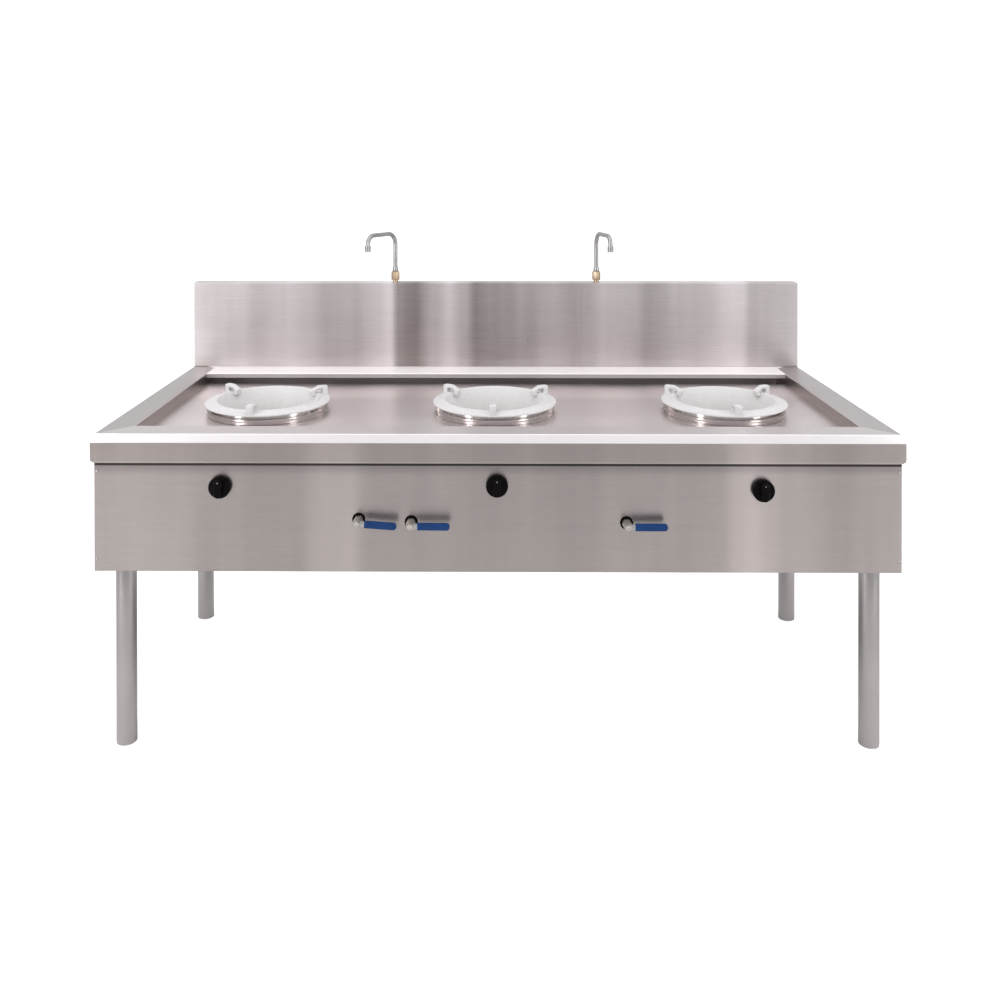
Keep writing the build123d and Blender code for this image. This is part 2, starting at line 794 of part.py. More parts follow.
with BuildPart() as rear_gutter:
    wall_points = (
        (bearer_rear_y, under_worktop),
        (worktop_rear_y, under_worktop),
        (worktop_rear_y, gutter_bottom),
    )
    extrude(folded_section(along_x(-well_half), wall_points, Side.RIGHT), amount=2 * well_half)
    with BuildSketch(along_x(-well_half)):
        with Locations((gutter_rear_y + sheet / 2, (gutter_bottom + rim_height - sheet) / 2)):
            Rectangle(sheet, rim_height - sheet - gutter_bottom)
    extrude(amount=2 * well_half)
    trough = gutter_rear_y - worktop_rear_y - 2 * gutter_joint
    trough_middle_y = (worktop_rear_y + gutter_rear_y) / 2
    for x in (-well_half, well_half - sheet):
        with BuildSketch(along_x(x)):
            with Locations((trough_middle_y, (gutter_bottom + worktop_height) / 2)):
                Rectangle(trough, worktop_height - gutter_bottom)
        extrude(amount=sheet)
    with BuildSketch(Plane.XY.offset(gutter_bottom)):
        with Locations((0, trough_middle_y)):
            Rectangle(2 * (well_half - sheet - gutter_joint), trough)
        with Locations((drain_x, drain_y)):
            Circle(drain_radius + slip_gap, mode=Mode.SUBTRACT)
    extrude(amount=sheet)
    with BuildSketch(facing(valve_rinse_x, gutter_rear_y + sheet, rinse_height)):
        Circle(water_pipe_radius + pipe_hole_gap)
    extrude(amount=sheet, mode=Mode.SUBTRACT)
finish(rear_gutter, "rear_gutter")

with BuildPart() as rinse_pipe:
    with BuildSketch(along_x(-well_half)):
        with Locations((rinse_y, rinse_height)):
            Circle(rinse_radius)
            Circle(rinse_radius - rinse_wall, mode=Mode.SUBTRACT)
    extrude(amount=2 * well_half)
    with BuildSketch(Plane.XY.offset(rinse_height - rinse_radius)):
        with Locations((0, rinse_y)):
            with GridLocations(spray_pitch, 0, spray_count, 1):
                Circle(spray_radius)
    extrude(amount=rinse_radius, mode=Mode.SUBTRACT)
finish(rinse_pipe, "rinse_pipe")

with BuildPart() as drain_outlet:
    drain_route = (
        (drain_x, drain_y, gutter_floor),
        (drain_x, drain_y, drain_height),
        (drain_x, inlet_y, drain_height),
    )
    add(pipe(drain_route, drain_radius, drain_wall, drain_bend))
    add(backnut(drain_x, drain_height, drain_radius, drain_wall))
    with BuildSketch(Plane.XY.offset(gutter_floor)):
        with Locations((drain_x, drain_y)):
            Circle(drain_flange)
            Circle(drain_radius - drain_wall, mode=Mode.SUBTRACT)
    extrude(amount=drain_flange_thickness)
    with BuildSketch(Plane.XY.offset(gutter_bottom)):
        with Locations((drain_x, drain_y)):
            RegularPolygon(drain_nut_radius, 6)
            Circle(drain_radius - drain_wall, mode=Mode.SUBTRACT)
    extrude(amount=-drain_nut_height)
finish(drain_outlet, "drain_outlet")


# ---- burners ----
def wok_ring(x, turn):
    """A cast ring with a crowned flange, a conical throat and three windowed ears."""
    edge_top = ring_seat + ring_flange
    lip_foot = edge_top + ring_crown
    lip_outer = ring_lip_radius + ring_lip_width
    skirt = collar_radius - sheet - collar_seat - ring_skirt_gap
    ring_points = (
        (ring_radius, ring_seat),
        (ring_radius, edge_top),
        (lip_outer, lip_foot),
        (lip_outer - ring_lip_taper, lip_foot + ring_lip_height),
        (ring_lip_radius, lip_foot + ring_lip_height),
        (ring_lip_radius - ring_wall / 2, lip_foot - ring_lip_taper),
        (ring_throat_radius, ring_throat_bottom),
        (ring_throat_radius + ring_wall, ring_throat_bottom),
        (lip_outer - ring_wall / 2, ring_seat - ring_flange),
        (skirt - ring_wall, ring_seat - ring_flange),
        (skirt - ring_wall, ring_seat - ring_skirt_depth),
        (skirt, ring_seat - ring_skirt_depth),
        (skirt, ring_seat),
    )
    ear_outer = ring_radius - ear_edge_inset
    ear_inner = ring_lip_radius - ring_wall
    ear_top_height = edge_top + ear_height
    ear_points = (
        (ear_outer, ring_seat + ear_root),
        (ear_outer, ear_top_height),
        (ear_outer - ear_top, ear_top_height),
        (ear_inner, ear_top_height - ear_fall),
        (ear_inner, lip_foot - ring_crown),
        (ear_inner + ring_wall, ring_seat + ear_root),
    )
    window_low = lip_foot + window_sill
    window_high = ear_top_height - ear_bar
    window_inner = ear_inner + ear_leg
    window_outer = ear_outer - ear_post
    with BuildPart() as ring:
        revolve(turned_section(x, burner_y, ring_points), upright_axis(x, burner_y))
        for ear in range(3):
            ear_plane = upright(x, burner_y, turn - 90 + 120 * ear)
            with BuildSketch(ear_plane):
                with BuildLine():
                    Polyline(*ear_points, close=True)
                make_face()
                middle = ((window_inner + window_outer) / 2, (window_low + window_high) / 2)
                with Locations(middle):
                    RectangleRounded(
                        window_outer - window_inner,
                        window_high - window_low,
                        window_rounding,
                        mode=Mode.SUBTRACT,
                    )
            extrude(amount=ear_width / 2, both=True)
    return ring


def burner_collar(x):
    """The polished collar on the worktop, with a rolled bead and a turned-in top edge."""
    inner = collar_radius - sheet
    bead_middle = worktop_height + collar_height / 2
    with BuildPart() as collar:
        with BuildSketch(upright(x, burner_y)):
            with BuildLine():
                Polyline(
                    (collar_radius, bead_middle - collar_bead_height / 2),
                    (collar_radius, worktop_height + sheet),
                    (collar_radius + collar_foot, worktop_height + sheet),
                    (collar_radius + collar_foot, worktop_height),
                    (inner, worktop_height),
                    (inner, ring_seat - sheet),
                    (inner - collar_seat, ring_seat - sheet),
                    (inner - collar_seat, ring_seat),
                    (collar_radius, ring_seat),
                    (collar_radius, bead_middle + collar_bead_height / 2),
                )
                ThreePointArc(
                    (collar_radius, bead_middle + collar_bead_height / 2),
                    (collar_radius + collar_bead, bead_middle),
                    (collar_radius, bead_middle - collar_bead_height / 2),
                )
            make_face()
        revolve(axis=upright_axis(x, burner_y))
    return collar


for name, x, turn in zip(burner_names, burner_places, ring_turns):
    finish(wok_ring(x, turn), f"wok_ring_{name}")
    finish(burner_collar(x), f"burner_collar_{name}")

with BuildPart() as fire_chambers:
    for x in burner_places:
        flange_radius = collar_radius - sheet - chamber_flange_gap
        shell_points = (
            (chamber_floor_hole, chamber_floor - sheet),
            (chamber_radius, chamber_floor - sheet),
            (chamber_radius, worktop_height),
            (flange_radius, worktop_height),
            (flange_radius, worktop_height + sheet),
            (chamber_radius - sheet, worktop_height + sheet),
            (chamber_radius - sheet, chamber_floor),
            (chamber_floor_hole, chamber_floor),
        )
        revolve(turned_section(x, burner_y, shell_points), upright_axis(x, burner_y))
finish(fire_chambers, "fire_chambers")

with BuildPart() as chamber_linings:
    for x in burner_places:
        lining_outer = chamber_radius - sheet - lining_gap
        lining_top = ring_throat_bottom - lining_top_gap
        lining_points = (
            (lining_throat_radius, chamber_floor),
            (lining_outer, chamber_floor),
            (lining_outer, lining_top),
            (lining_mouth_radius, lining_top),
            (lining_throat_radius, chamber_floor + lining_cone_height),
        )
        revolve(turned_section(x, burner_y, lining_points), upright_axis(x, burner_y))
    with BuildSketch(Plane.XY.offset(chamber_floor)):
        for x in burner_places:
            with Locations((x, burner_y)):
                with PolarLocations((lining_throat_radius + chamber_radius) / 2, brick_count):
                    Rectangle(chamber_radius - lining_throat_radius + 2 * brick_joint, brick_joint)
    extrude(amount=lining_top - chamber_floor, mode=Mode.SUBTRACT)
finish(chamber_linings, "chamber_linings")

with BuildPart() as burner_heads:
    head_top = chamber_floor + burner_flange + burner_head_height
    head_shoulder = head_top - burner_wall
    cavity_floor = chamber_floor + burner_flange
    for x in burner_places:
        head_points = (
            (mixer_bore, mixer_bottom + bell_height),
            (bell_radius - burner_wall / 2, mixer_bottom),
            (bell_radius, mixer_bottom),
            (mixer_radius, mixer_bottom + bell_height),
            (mixer_radius, chamber_floor),
            (burner_flange_radius, chamber_floor),
            (burner_flange_radius, chamber_floor + burner_flange),
            (burner_head_radius, chamber_floor + burner_flange),
            (burner_head_radius, head_shoulder),
            (burner_head_radius / 2, head_top),
            (0, head_top),
            (0, head_top - burner_wall),
            (burner_head_radius / 2, head_top - burner_wall),
            (burner_head_radius - burner_wall, head_shoulder - burner_wall),
            (burner_head_radius - burner_wall, cavity_floor),
            (mixer_bore, cavity_floor),
        )
        revolve(turned_section(x, burner_y, head_points), upright_axis(x, burner_y))
        port_height = (cavity_floor + head_shoulder) / 2
        with Locations((x, burner_y, port_height)):
            with PolarLocations(burner_head_radius - burner_wall / 2, port_count):
                Cylinder(port_radius, 2 * burner_wall, rotation=(0, 90, 0), mode=Mode.SUBTRACT)
finish(burner_heads, "burner_heads")

with BuildPart() as gas_injectors:
    disc_bottom = mixer_bottom - shutter_thickness
    for x in burner_places:
        injector_points = (
            (0, injector_bottom),
            (injector_radius, injector_bottom),
            (injector_radius, disc_bottom),
            (shutter_radius, disc_bottom),
            (shutter_radius, mixer_bottom),
            (jet_radius, mixer_bottom),
            (jet_radius, mixer_bottom + jet_length),
            (0, mixer_bottom + jet_length),
        )
        revolve(turned_section(x, burner_y, injector_points), upright_axis(x, burner_y))
        with BuildSketch(Plane.XY.offset(disc_bottom)):
            with Locations((x, burner_y)):
                with PolarLocations(air_hole_circle_radius, 6):
                    Circle(air_hole_radius)
        extrude(amount=shutter_thickness, mode=Mode.SUBTRACT)
finish(gas_injectors, "gas_injectors")

# ---- gas line ----
gas_route = (
    (gas_pipe_end_x, gas_pipe_y, gas_pipe_height),
    (gas_inlet_x, gas_pipe_y, gas_pipe_height),
    (gas_inlet_x, inlet_y, gas_pipe_height),
)
gas_bend = 2 * gas_pipe_radius
with BuildPart() as gas_manifold:
    add(pipe(gas_route, gas_pipe_radius, gas_pipe_wall, gas_bend))
    add(backnut(gas_inlet_x, gas_pipe_height, gas_pipe_radius, gas_pipe_wall))
finish(gas_manifold, "gas_manifold")

cock_front_y = panel_back_y + gas_cock_gap
cock_outlet_y = apron_y + cock_outlet_setback
with BuildPart() as gas_valves:
    for x, z in knob_places:
        with BuildSketch(facing(x, gas_pipe_y, z)):
            Circle(gas_cock_radius)
        extrude(amount=gas_pipe_y - cock_front_y)
        with BuildSketch(Plane.XY.offset(z - cock_outlet_drop)):
            with Locations((x, cock_outlet_y)):
                Circle(cock_outlet_radius)
        extrude(amount=cock_outlet_drop)
        with BuildSketch(facing(x, cock_front_y + gas_stem_depth, z)):
            Circle(stem_radius + slip_gap)
        extrude(amount=gas_stem_depth, mode=Mode.SUBTRACT)
    with BuildSketch(along_x(gas_pipe_end_x)):
        with Locations((gas_pipe_y, gas_pipe_height)):
            Circle(gas_pipe_radius + slip_gap)
    extrude(amount=gas_inlet_x - gas_bend - gas_pipe_end_x, mode=Mode.SUBTRACT)
finish(gas_valves, "gas_valves")

feed_y = apron_y + feed_setback
with BuildPart() as gas_feed_tubes:
    for burner_x, (x, z) in zip(burner_places, knob_places):
        outlet_bottom = z - cock_outlet_drop
        feed_route = (
            (x, cock_outlet_y, outlet_bottom),
            (x, cock_outlet_y, outlet_bottom - feed_straight),
            (x, feed_y, outlet_bottom - feed_straight - feed_jog_drop),
            (x, feed_y, feed_height),
            (burner_x, burner_y, feed_height),
            (burner_x, burner_y, injector_bottom),
        )
        bends = (feed_bend, feed_bend, feed_bend, feed_end_bend)
        add(pipe(feed_route, feed_radius, feed_wall, bends))
finish(gas_feed_tubes, "gas_feed_tubes")

knob_base_y = panel_front_y - knob_gap
knob_front_y = knob_base_y - knob_skirt - grip_height
for name, (x, z) in zip(burner_names, knob_places):
    with BuildPart() as gas_knob:
        with BuildSketch(facing(x, knob_base_y, z)):
            Circle(knob_radius)
        extrude(amount=knob_skirt, taper=knob_skirt_taper)
        with BuildSketch(facing(x, knob_base_y - knob_skirt, z, 90)):
            SlotOverall(grip_length, grip_width)
        extrude(amount=grip_height)
        fillet(gas_knob.faces().sort_by(Axis.Y)[0].edges(), radius=grip_rounding)
        with BuildSketch(facing(x, knob_front_y, z + pointer_offset)):
            Circle(pointer_radius)
        extrude(amount=-pointer_depth, mode=Mode.SUBTRACT)
        with BuildSketch(facing(x, knob_base_y, z)):
            Circle(stem_radius + slip_gap)
        extrude(amount=stem_grip, mode=Mode.SUBTRACT)
    finish(gas_knob, f"gas_knob_{name}")

    with BuildPart() as gas_stem:
        stem_back_y = cock_front_y + gas_stem_depth
        with BuildSketch(facing(x, stem_back_y, z)):
            Circle(stem_radius)
        extrude(amount=stem_back_y - knob_base_y + stem_grip)
    finish(gas_stem, f"gas_stem_{name}")

# ---- water line ----
water_route = (
    (water_pipe_end_x, water_pipe_y, water_pipe_height),
    (water_inlet_x, water_pipe_y, water_pipe_height),
    (water_inlet_x, water_pipe_y, water_inlet_height),
    (water_inlet_x, inlet_y, water_inlet_height),
)
with BuildPart() as water_manifold:
    add(pipe(water_route, water_pipe_radius, water_pipe_wall, riser_bend))
    add(backnut(water_inlet_x, water_inlet_height, water_pipe_radius, water_pipe_wall))
finish(water_manifold, "water_manifold")

neck_front_y = apron_y + valve_neck_front
with BuildPart() as ball_valve_bodies:
    for x, z in valve_places:
        with BuildSketch(Plane.XY.offset(z - valve_half_length)):
            with Locations((x, water_pipe_y)):
                Circle(valve_body_radius)
        extrude(amount=2 * valve_half_length)
        with BuildSketch(Plane.XY.offset(water_pipe_height)):
            with Locations((x, water_pipe_y)):
                Circle(valve_neck_radius)
        extrude(amount=z - water_pipe_height)
        with Locations((x, water_pipe_y, z)):
            Sphere(valve_ball_radius)
        with BuildSketch(facing(x, water_pipe_y, z)):
            Circle(valve_neck_radius)
        extrude(amount=water_pipe_y - neck_front_y)
        with BuildSketch(facing(x, neck_front_y, z)):
            RegularPolygon(gland_across / 2, 6, major_radius=False)
        extrude(amount=gland_length)
        with BuildSketch(facing(x, water_pipe_y, z)):
            Circle(stem_radius + slip_gap)
        extrude(amount=water_pipe_y - neck_front_y + gland_length, mode=Mode.SUBTRACT)
    with BuildSketch(along_x(water_pipe_end_x)):
        with Locations((water_pipe_y, water_pipe_height)):
            Circle(water_pipe_radius + slip_gap)
    extrude(amount=water_inlet_x - riser_bend - water_pipe_end_x, mode=Mode.SUBTRACT)
finish(ball_valve_bodies, "ball_valve_bodies")

nipple_bottom = splash_top - nipple_below
with BuildPart() as water_risers:
    spout_valves = ((valve_places[0], spout_left_x), (valve_places[2], spout_right_x))
    for (x, z), spout_x in spout_valves:
        riser_route = (
            (x, water_pipe_y, z + valve_half_length),
            (x, water_pipe_y, riser_height),
            (spout_x, riser_y, riser_height),
            (spout_x, riser_y, nipple_bottom),
        )
        add(pipe(riser_route, water_pipe_radius, water_pipe_wall, riser_bend))
    x, z = valve_places[1]
    rinse_route = (
        (x, water_pipe_y, z + valve_half_length),
        (x, water_pipe_y, riser_height),
        (x, rinse_feed_y, riser_height),
        (x, rinse_feed_y, rinse_height),
        (x, rinse_y, rinse_height),
    )
    add(pipe(rinse_route, water_pipe_radius, water_pipe_wall, riser_bend))
    with Locations((x, rinse_y, rinse_height)):
        Cylinder(
            rinse_radius + slip_gap,
            4 * water_pipe_radius,
            rotation=(0, 90, 0),
            mode=Mode.SUBTRACT,
        )
finish(water_risers, "water_risers")

for name, (x, z), droop in zip(valve_names, valve_places, lever_droops):
    lever_back_y = lever_y + lever_thickness / 2
    lever_front_y = lever_y - lever_thickness / 2
    plate_end = lever_reach - sleeve_tip

    with BuildPart() as valve_lever:
        with BuildSketch(facing(x, lever_back_y, z, droop)):
            Circle(lever_eye_radius)
            with Locations((plate_end / 2, 0)):
                Rectangle(plate_end, lever_width)
            Circle(stem_radius + slip_gap, mode=Mode.SUBTRACT)
        extrude(amount=lever_thickness)
    finish(valve_lever, f"valve_lever_{name}")

    with BuildPart() as lever_sleeve:
        sleeve_length = lever_reach - sleeve_start
        with BuildSketch(facing(x, lever_y + sleeve_thickness / 2, z, droop)):
            with Locations((sleeve_start + sleeve_length / 2, 0)):
                SlotOverall(sleeve_length, sleeve_height)
            with Locations((sleeve_start + sleeve_height / 4, 0)):
                Rectangle(sleeve_height / 2, sleeve_height)
        extrude(amount=sleeve_thickness)
        with BuildSketch(facing(x, lever_back_y + sleeve_fit, z, droop)):
            with Locations(((plate_end + sleeve_fit) / 2, 0)):
                Rectangle(plate_end + sleeve_fit, lever_width + 2 * sleeve_fit)
        extrude(amount=lever_thickness + 2 * sleeve_fit, mode=Mode.SUBTRACT)
    finish(lever_sleeve, f"lever_sleeve_{name}")

    with BuildPart() as valve_stem:
        stem_back_y = water_pipe_y - valve_neck_radius
        with BuildSketch(facing(x, stem_back_y, z)):
            Circle(stem_radius)
        extrude(amount=stem_back_y - lever_front_y + nut_height + stem_tip)
        with BuildSketch(facing(x, lever_front_y, z, droop)):
            RegularPolygon(nut_across / 2, 6, major_radius=False)
        extrude(amount=nut_height)
    finish(valve_stem, f"valve_stem_{name}")

# ---- spouts ----
union_bottom = splash_top + union_lift
union_top = union_bottom + union_height
with BuildPart() as spout_unions:
    for x in spout_places:
        with BuildSketch(Plane.XY.offset(nipple_bottom)):
            with Locations((x, riser_y)):
                Circle(nipple_radius)
        extrude(amount=union_bottom - nipple_bottom)
        with BuildSketch(Plane.XY.offset(union_bottom)):
            with Locations((x, riser_y)):
                RegularPolygon(union_across / 2, 6, major_radius=False)
        extrude(amount=union_height)
        with BuildSketch(Plane.XY.offset(nipple_bottom)):
            with Locations((x, riser_y)):
                Circle(nipple_bore)
        extrude(amount=union_top - nipple_bottom, mode=Mode.SUBTRACT)
        with BuildSketch(Plane.XY.offset(union_bottom + spout_seat)):
            with Locations((x, riser_y)):
                Circle(spout_radius + slip_gap)
        extrude(amount=union_height - spout_seat, mode=Mode.SUBTRACT)
finish(spout_unions, "spout_unions")

for name, x, turn in zip(spout_names, spout_places, spout_turns):
    out_x = sin(radians(turn))
    out_y = -cos(radians(turn))
    tip_x = x + spout_reach * out_x
    tip_y = riser_y + spout_reach * out_y
    top_z = splash_top + spout_top
    tip_z = top_z - spout_drop
    spout_route = (
        (x, riser_y, union_bottom + spout_seat),
        (x, riser_y, top_z),
        (tip_x, tip_y, top_z),
        (tip_x, tip_y, tip_z),
    )
    with BuildPart() as spout:
        add(pipe(spout_route, spout_radius, spout_wall, (spout_rear_bend, spout_front_bend)))
        ferrule_points = (
            (spout_radius, union_top),
            (ferrule_radius, union_top),
            (ferrule_radius, union_top + ferrule_height / 2),
            (spout_radius, union_top + ferrule_height),
        )
        revolve(turned_section(x, riser_y, ferrule_points), upright_axis(x, riser_y))
        outlet_points = (
            (outlet_bore, tip_z - outlet_lip),
            (outlet_radius, tip_z - outlet_lip),
            (outlet_radius, tip_z - outlet_lip + outlet_length),
            (spout_radius + slip_gap, tip_z - outlet_lip + outlet_length),
            (spout_radius + slip_gap, tip_z),
            (outlet_bore, tip_z),
        )
        revolve(turned_section(tip_x, tip_y, outlet_points), upright_axis(tip_x, tip_y))
    finish(spout, f"spout_{name}")
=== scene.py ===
# %% [markdown]
# # A wok range with three burners
# The range is a long stainless steel bench: a sunk worktop with three cast wok rings, a folded
# rim, a backsplash with two swivel spouts, and gas knobs and water levers on the front panel.
# The CAD model is already in the frame, in metres, with X to the right, Y to the back and Z up.
# One could model all of it again here. Instead the flat sheets stay as the CAD has them and get
# better materials, and the round and moving pieces are built anew, because a CAD mesh is made of
# loose triangles and a round shape looks faceted in it.

# %% Load the CAD model
import json
import math

import bmesh
import bpy
from mathutils import Matrix, Vector

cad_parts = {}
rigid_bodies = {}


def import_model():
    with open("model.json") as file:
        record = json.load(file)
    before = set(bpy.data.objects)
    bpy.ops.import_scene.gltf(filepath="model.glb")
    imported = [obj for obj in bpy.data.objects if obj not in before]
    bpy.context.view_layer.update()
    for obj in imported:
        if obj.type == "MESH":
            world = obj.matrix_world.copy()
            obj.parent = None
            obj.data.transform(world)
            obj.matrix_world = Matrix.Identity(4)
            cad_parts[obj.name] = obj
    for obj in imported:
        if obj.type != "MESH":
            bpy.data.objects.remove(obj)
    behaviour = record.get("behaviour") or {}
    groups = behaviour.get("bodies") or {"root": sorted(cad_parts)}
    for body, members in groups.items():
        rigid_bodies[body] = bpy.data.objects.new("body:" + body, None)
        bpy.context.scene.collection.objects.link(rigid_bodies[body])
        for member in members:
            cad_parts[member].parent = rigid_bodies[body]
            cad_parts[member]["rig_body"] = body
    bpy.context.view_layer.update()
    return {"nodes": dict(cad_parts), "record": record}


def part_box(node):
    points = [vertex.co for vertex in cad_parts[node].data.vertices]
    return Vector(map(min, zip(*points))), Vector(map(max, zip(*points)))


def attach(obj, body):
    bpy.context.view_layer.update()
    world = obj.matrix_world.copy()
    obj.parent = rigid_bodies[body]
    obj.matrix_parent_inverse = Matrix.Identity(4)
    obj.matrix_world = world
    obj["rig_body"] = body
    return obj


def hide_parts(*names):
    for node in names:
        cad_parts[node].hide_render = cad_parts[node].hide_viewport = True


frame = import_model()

nodes = frame["nodes"]
slot_of = {part["node"]: part["material_slot"] for part in frame["record"]["subparts"]}
body_of = {name: shown["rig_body"] for name, shown in nodes.items()}

# %% [markdown]
# ## The camera
# The photograph was taken level and from higher than the range, about 2.8 metres from its middle,
# and the range stands in the middle of the picture all the same. A camera could be tilted down to
# do that, but upright edges would then lean together. A shifted lens keeps them upright.

# %% Place the camera
lens = bpy.data.cameras.new("camera")
lens.lens = 34.362
lens.sensor_width = 36.0
lens.shift_x = 0.0175
lens.shift_y = -0.3285
camera = bpy.data.objects.new("camera", lens)
camera.location = (-0.0130, -2.756025, 1.4613)
camera.rotation_euler = (math.radians(89.73), math.radians(0.05), math.radians(0.51))
bpy.context.scene.collection.objects.link(camera)
bpy.context.scene.camera = camera
print("camera at", tuple(camera.location))

# %% [markdown]
# ## Helpers for shaders
# A node tree could be clicked together in the editor. In a script one short helper that adds a
# node, sets it and joins its sockets keeps each material readable: a socket is given a value or
# the output that feeds it.


# %% A node, a group and a material
def node(tree, kind, sockets=None, **settings):
    """Adds a shader node, with its settings and what its sockets take."""
    made = tree.nodes.new("ShaderNode" + kind)
    for name, value in settings.items():
        setattr(made, name, value)
    for name, value in (sockets or {}).items():
        if isinstance(value, bpy.types.NodeSocket):
            tree.links.new(value, made.inputs[name])
        else:
            made.inputs[name].default_value = value
    return made


def new_group(name, inputs, outputs):
    """A shader node group: inputs are (name, value), outputs are names."""
    tree = bpy.data.node_groups.new(name, "ShaderNodeTree")
    for label, value in inputs:
        kind = "NodeSocketVector" if isinstance(value, tuple) else "NodeSocketFloat"
        socket = tree.interface.new_socket(label, in_out="INPUT", socket_type=kind)
        socket.default_value = value
    for label in outputs:
        tree.interface.new_socket(label, in_out="OUTPUT", socket_type="NodeSocketFloat")
    return tree, tree.nodes.new("NodeGroupInput"), tree.nodes.new("NodeGroupOutput")


def use(tree, group, **values):
    """Places a group in a material, with its own values."""
    made = tree.nodes.new("ShaderNodeGroup")
    made.node_tree = group
    for name, value in values.items():
        made.inputs[name.replace("_", " ").capitalize()].default_value = value
    return made


def new_material(name, **constants):
    """A material with a Principled shader: its tree and shader, with constants set on it."""
    made = bpy.data.materials.new(name)
    made.use_nodes = True
    shader = made.node_tree.nodes["Principled BSDF"]
    for label, value in constants.items():
        shader.inputs[label.replace("_", " ").title().replace("Ior", "IOR")].default_value = value
    return made, made.node_tree, shader


def between(tree, mask, low, high):
    """Goes from low to high as mask goes from 0 to 1: two numbers, or two colours or outputs."""
    if isinstance(low, float):
        scaled = node(tree, "MapRange", {"Value": mask, "To Min": low, "To Max": high})
        return scaled.outputs["Result"]
    ends = [end if isinstance(end, bpy.types.NodeSocket) else (*end, 1.0) for end in (low, high)]
    mixed = node(tree, "Mix", {0: mask, 6: ends[0], 7: ends[1]}, data_type="RGBA")
    return mixed.outputs[2]


print("shader helpers ready")

# %% [markdown]
# ## The room
# Steel shows what is around it, so the room matters as much as the material. It could be one
# white all round, as the photograph's background is, but then every face of the steel has the same
# tone. So the camera sees plain white, and the steel sees a softer light, which grows from the
# horizon to overhead.

# %% The world
scene = bpy.context.scene
scene.view_settings.view_transform = "Standard"
scene.view_settings.look = "None"
horizon_light, overhead_light, backdrop_light = 0.72, 0.92, 1.05

world = bpy.data.worlds.new("studio")
scene.world = world
world.use_nodes = True
sky = world.node_tree
sky.nodes.clear()
way = node(sky, "TexCoord")
height = node(sky, "SeparateXYZ", {0: way.outputs["Generated"]})
rise = node(
    sky, "MapRange",
    {"Value": height.outputs["Z"], "To Min": horizon_light, "To Max": overhead_light},
)
felt = node(
    sky, "Background", {"Color": (0.98, 0.98, 1.0, 1.0), "Strength": rise.outputs["Result"]}
)
seen = node(sky, "Background", {"Color": (1.0, 1.0, 1.0, 1.0), "Strength": backdrop_light})
paths = node(sky, "LightPath")
blend = node(
    sky, "MixShader",
    {0: paths.outputs["Is Camera Ray"], 1: felt.outputs[0], 2: seen.outputs[0]},
)
node(sky, "OutputWorld", {"Surface": blend.outputs[0]})
print("world nodes:", len(sky.nodes))

# %% [markdown]
# ## Soft boxes
# A product studio has a big soft light overhead and tall soft boxes at the sides, which draw the
# bright streaks down the collars and the legs. The world could light it all alone, but its light
# has no edges for polished metal to show. The boxes are hidden from the camera and still show in
# the steel.

# %% Three lights
worktop_middle = Vector((0, 0, 0.8))


def soft_box(name, place, width, height, power):
    """A rectangular light that points at the worktop and that the camera doesn't see."""
    light = bpy.data.lights.new(name, "AREA")
    light.shape = "RECTANGLE"
    light.size = width
    light.size_y = height
    light.energy = power
    lamp = bpy.data.objects.new(name, light)
    lamp.location = place
    lamp.rotation_euler = (worktop_middle - Vector(place)).to_track_quat("-Z", "Y").to_euler()
    lamp.visible_camera = False
    scene.collection.objects.link(lamp)


soft_box("overhead", (0, -0.6, 3.6), width=4.5, height=3.0, power=28)
soft_box("left_strip", (-2.6, -2.2, 1.7), width=0.5, height=2.6, power=45)
soft_box("right_strip", (2.8, -2.0, 1.7), width=0.7, height=2.6, power=32)

# %% [markdown]
# ## Brushed grain
# Sheet steel is brushed along its length at the mill, which leaves fine lines one way only. An
# image of scratches would do it, but stretched noise needs no image: the noise is squeezed hard
# across the lines and hardly at all along them. The group puts out a fine height for the bump and
# a broader streak that changes the tone a little.

# %% The grain group
grain, grain_in, grain_out = new_group(
    "brushed_grain",
    (("Stretch", (1.0, 60.0, 60.0)), ("Fineness", 14.0)),
    ("Height", "Streak"),
)
place = node(grain, "TexCoord")
stretched = node(
    grain, "VectorMath", {0: place.outputs["Object"], 1: grain_in.outputs["Stretch"]},
    operation="MULTIPLY",
)
fine = node(grain, "TexNoise", {"Vector": stretched.outputs[0], "Detail": 3.0})
grain.links.new(grain_in.outputs["Fineness"], fine.inputs["Scale"])
broad = node(grain, "TexNoise", {"Vector": stretched.outputs[0], "Scale": 0.7, "Detail": 2.0})
grain.links.new(fine.outputs["Fac"], grain_out.inputs["Height"])
grain.links.new(broad.outputs["Fac"], grain_out.inputs["Streak"])
print("grain group:", [s.name for s in grain.interface.items_tree])

# %% [markdown]
# ## Handling marks
# Steel that has been wiped and leaned on has soft cloudy patches that are a little duller. They
# could be painted by hand. A slow noise does it evenly over every sheet, and the same group, with
# a finer scale, mottles castings, bricks and plastics.

# %% The mottle group
mottle, mottle_in, mottle_out = new_group(
    "mottle", (("Scale", 4.0), ("Contrast", 2.0)), ("Mask", "Height")
)
place = node(mottle, "TexCoord")
cloud = node(mottle, "TexNoise", {"Vector": place.outputs["Object"], "Detail": 4.0})
mottle.links.new(mottle_in.outputs["Scale"], cloud.inputs["Scale"])
centred = node(mottle, "Math", {0: cloud.outputs["Fac"], 1: 0.5}, operation="SUBTRACT")
spread = node(
    mottle, "Math", {0: centred.outputs[0], 1: mottle_in.outputs["Contrast"], 2: 0.5},
    operation="MULTIPLY_ADD", use_clamp=True,
)
mottle.links.new(spread.outputs[0], mottle_out.inputs["Mask"])
mottle.links.new(cloud.outputs["Fac"], mottle_out.inputs["Height"])
print("mottle group:", [s.name for s in mottle.interface.items_tree])

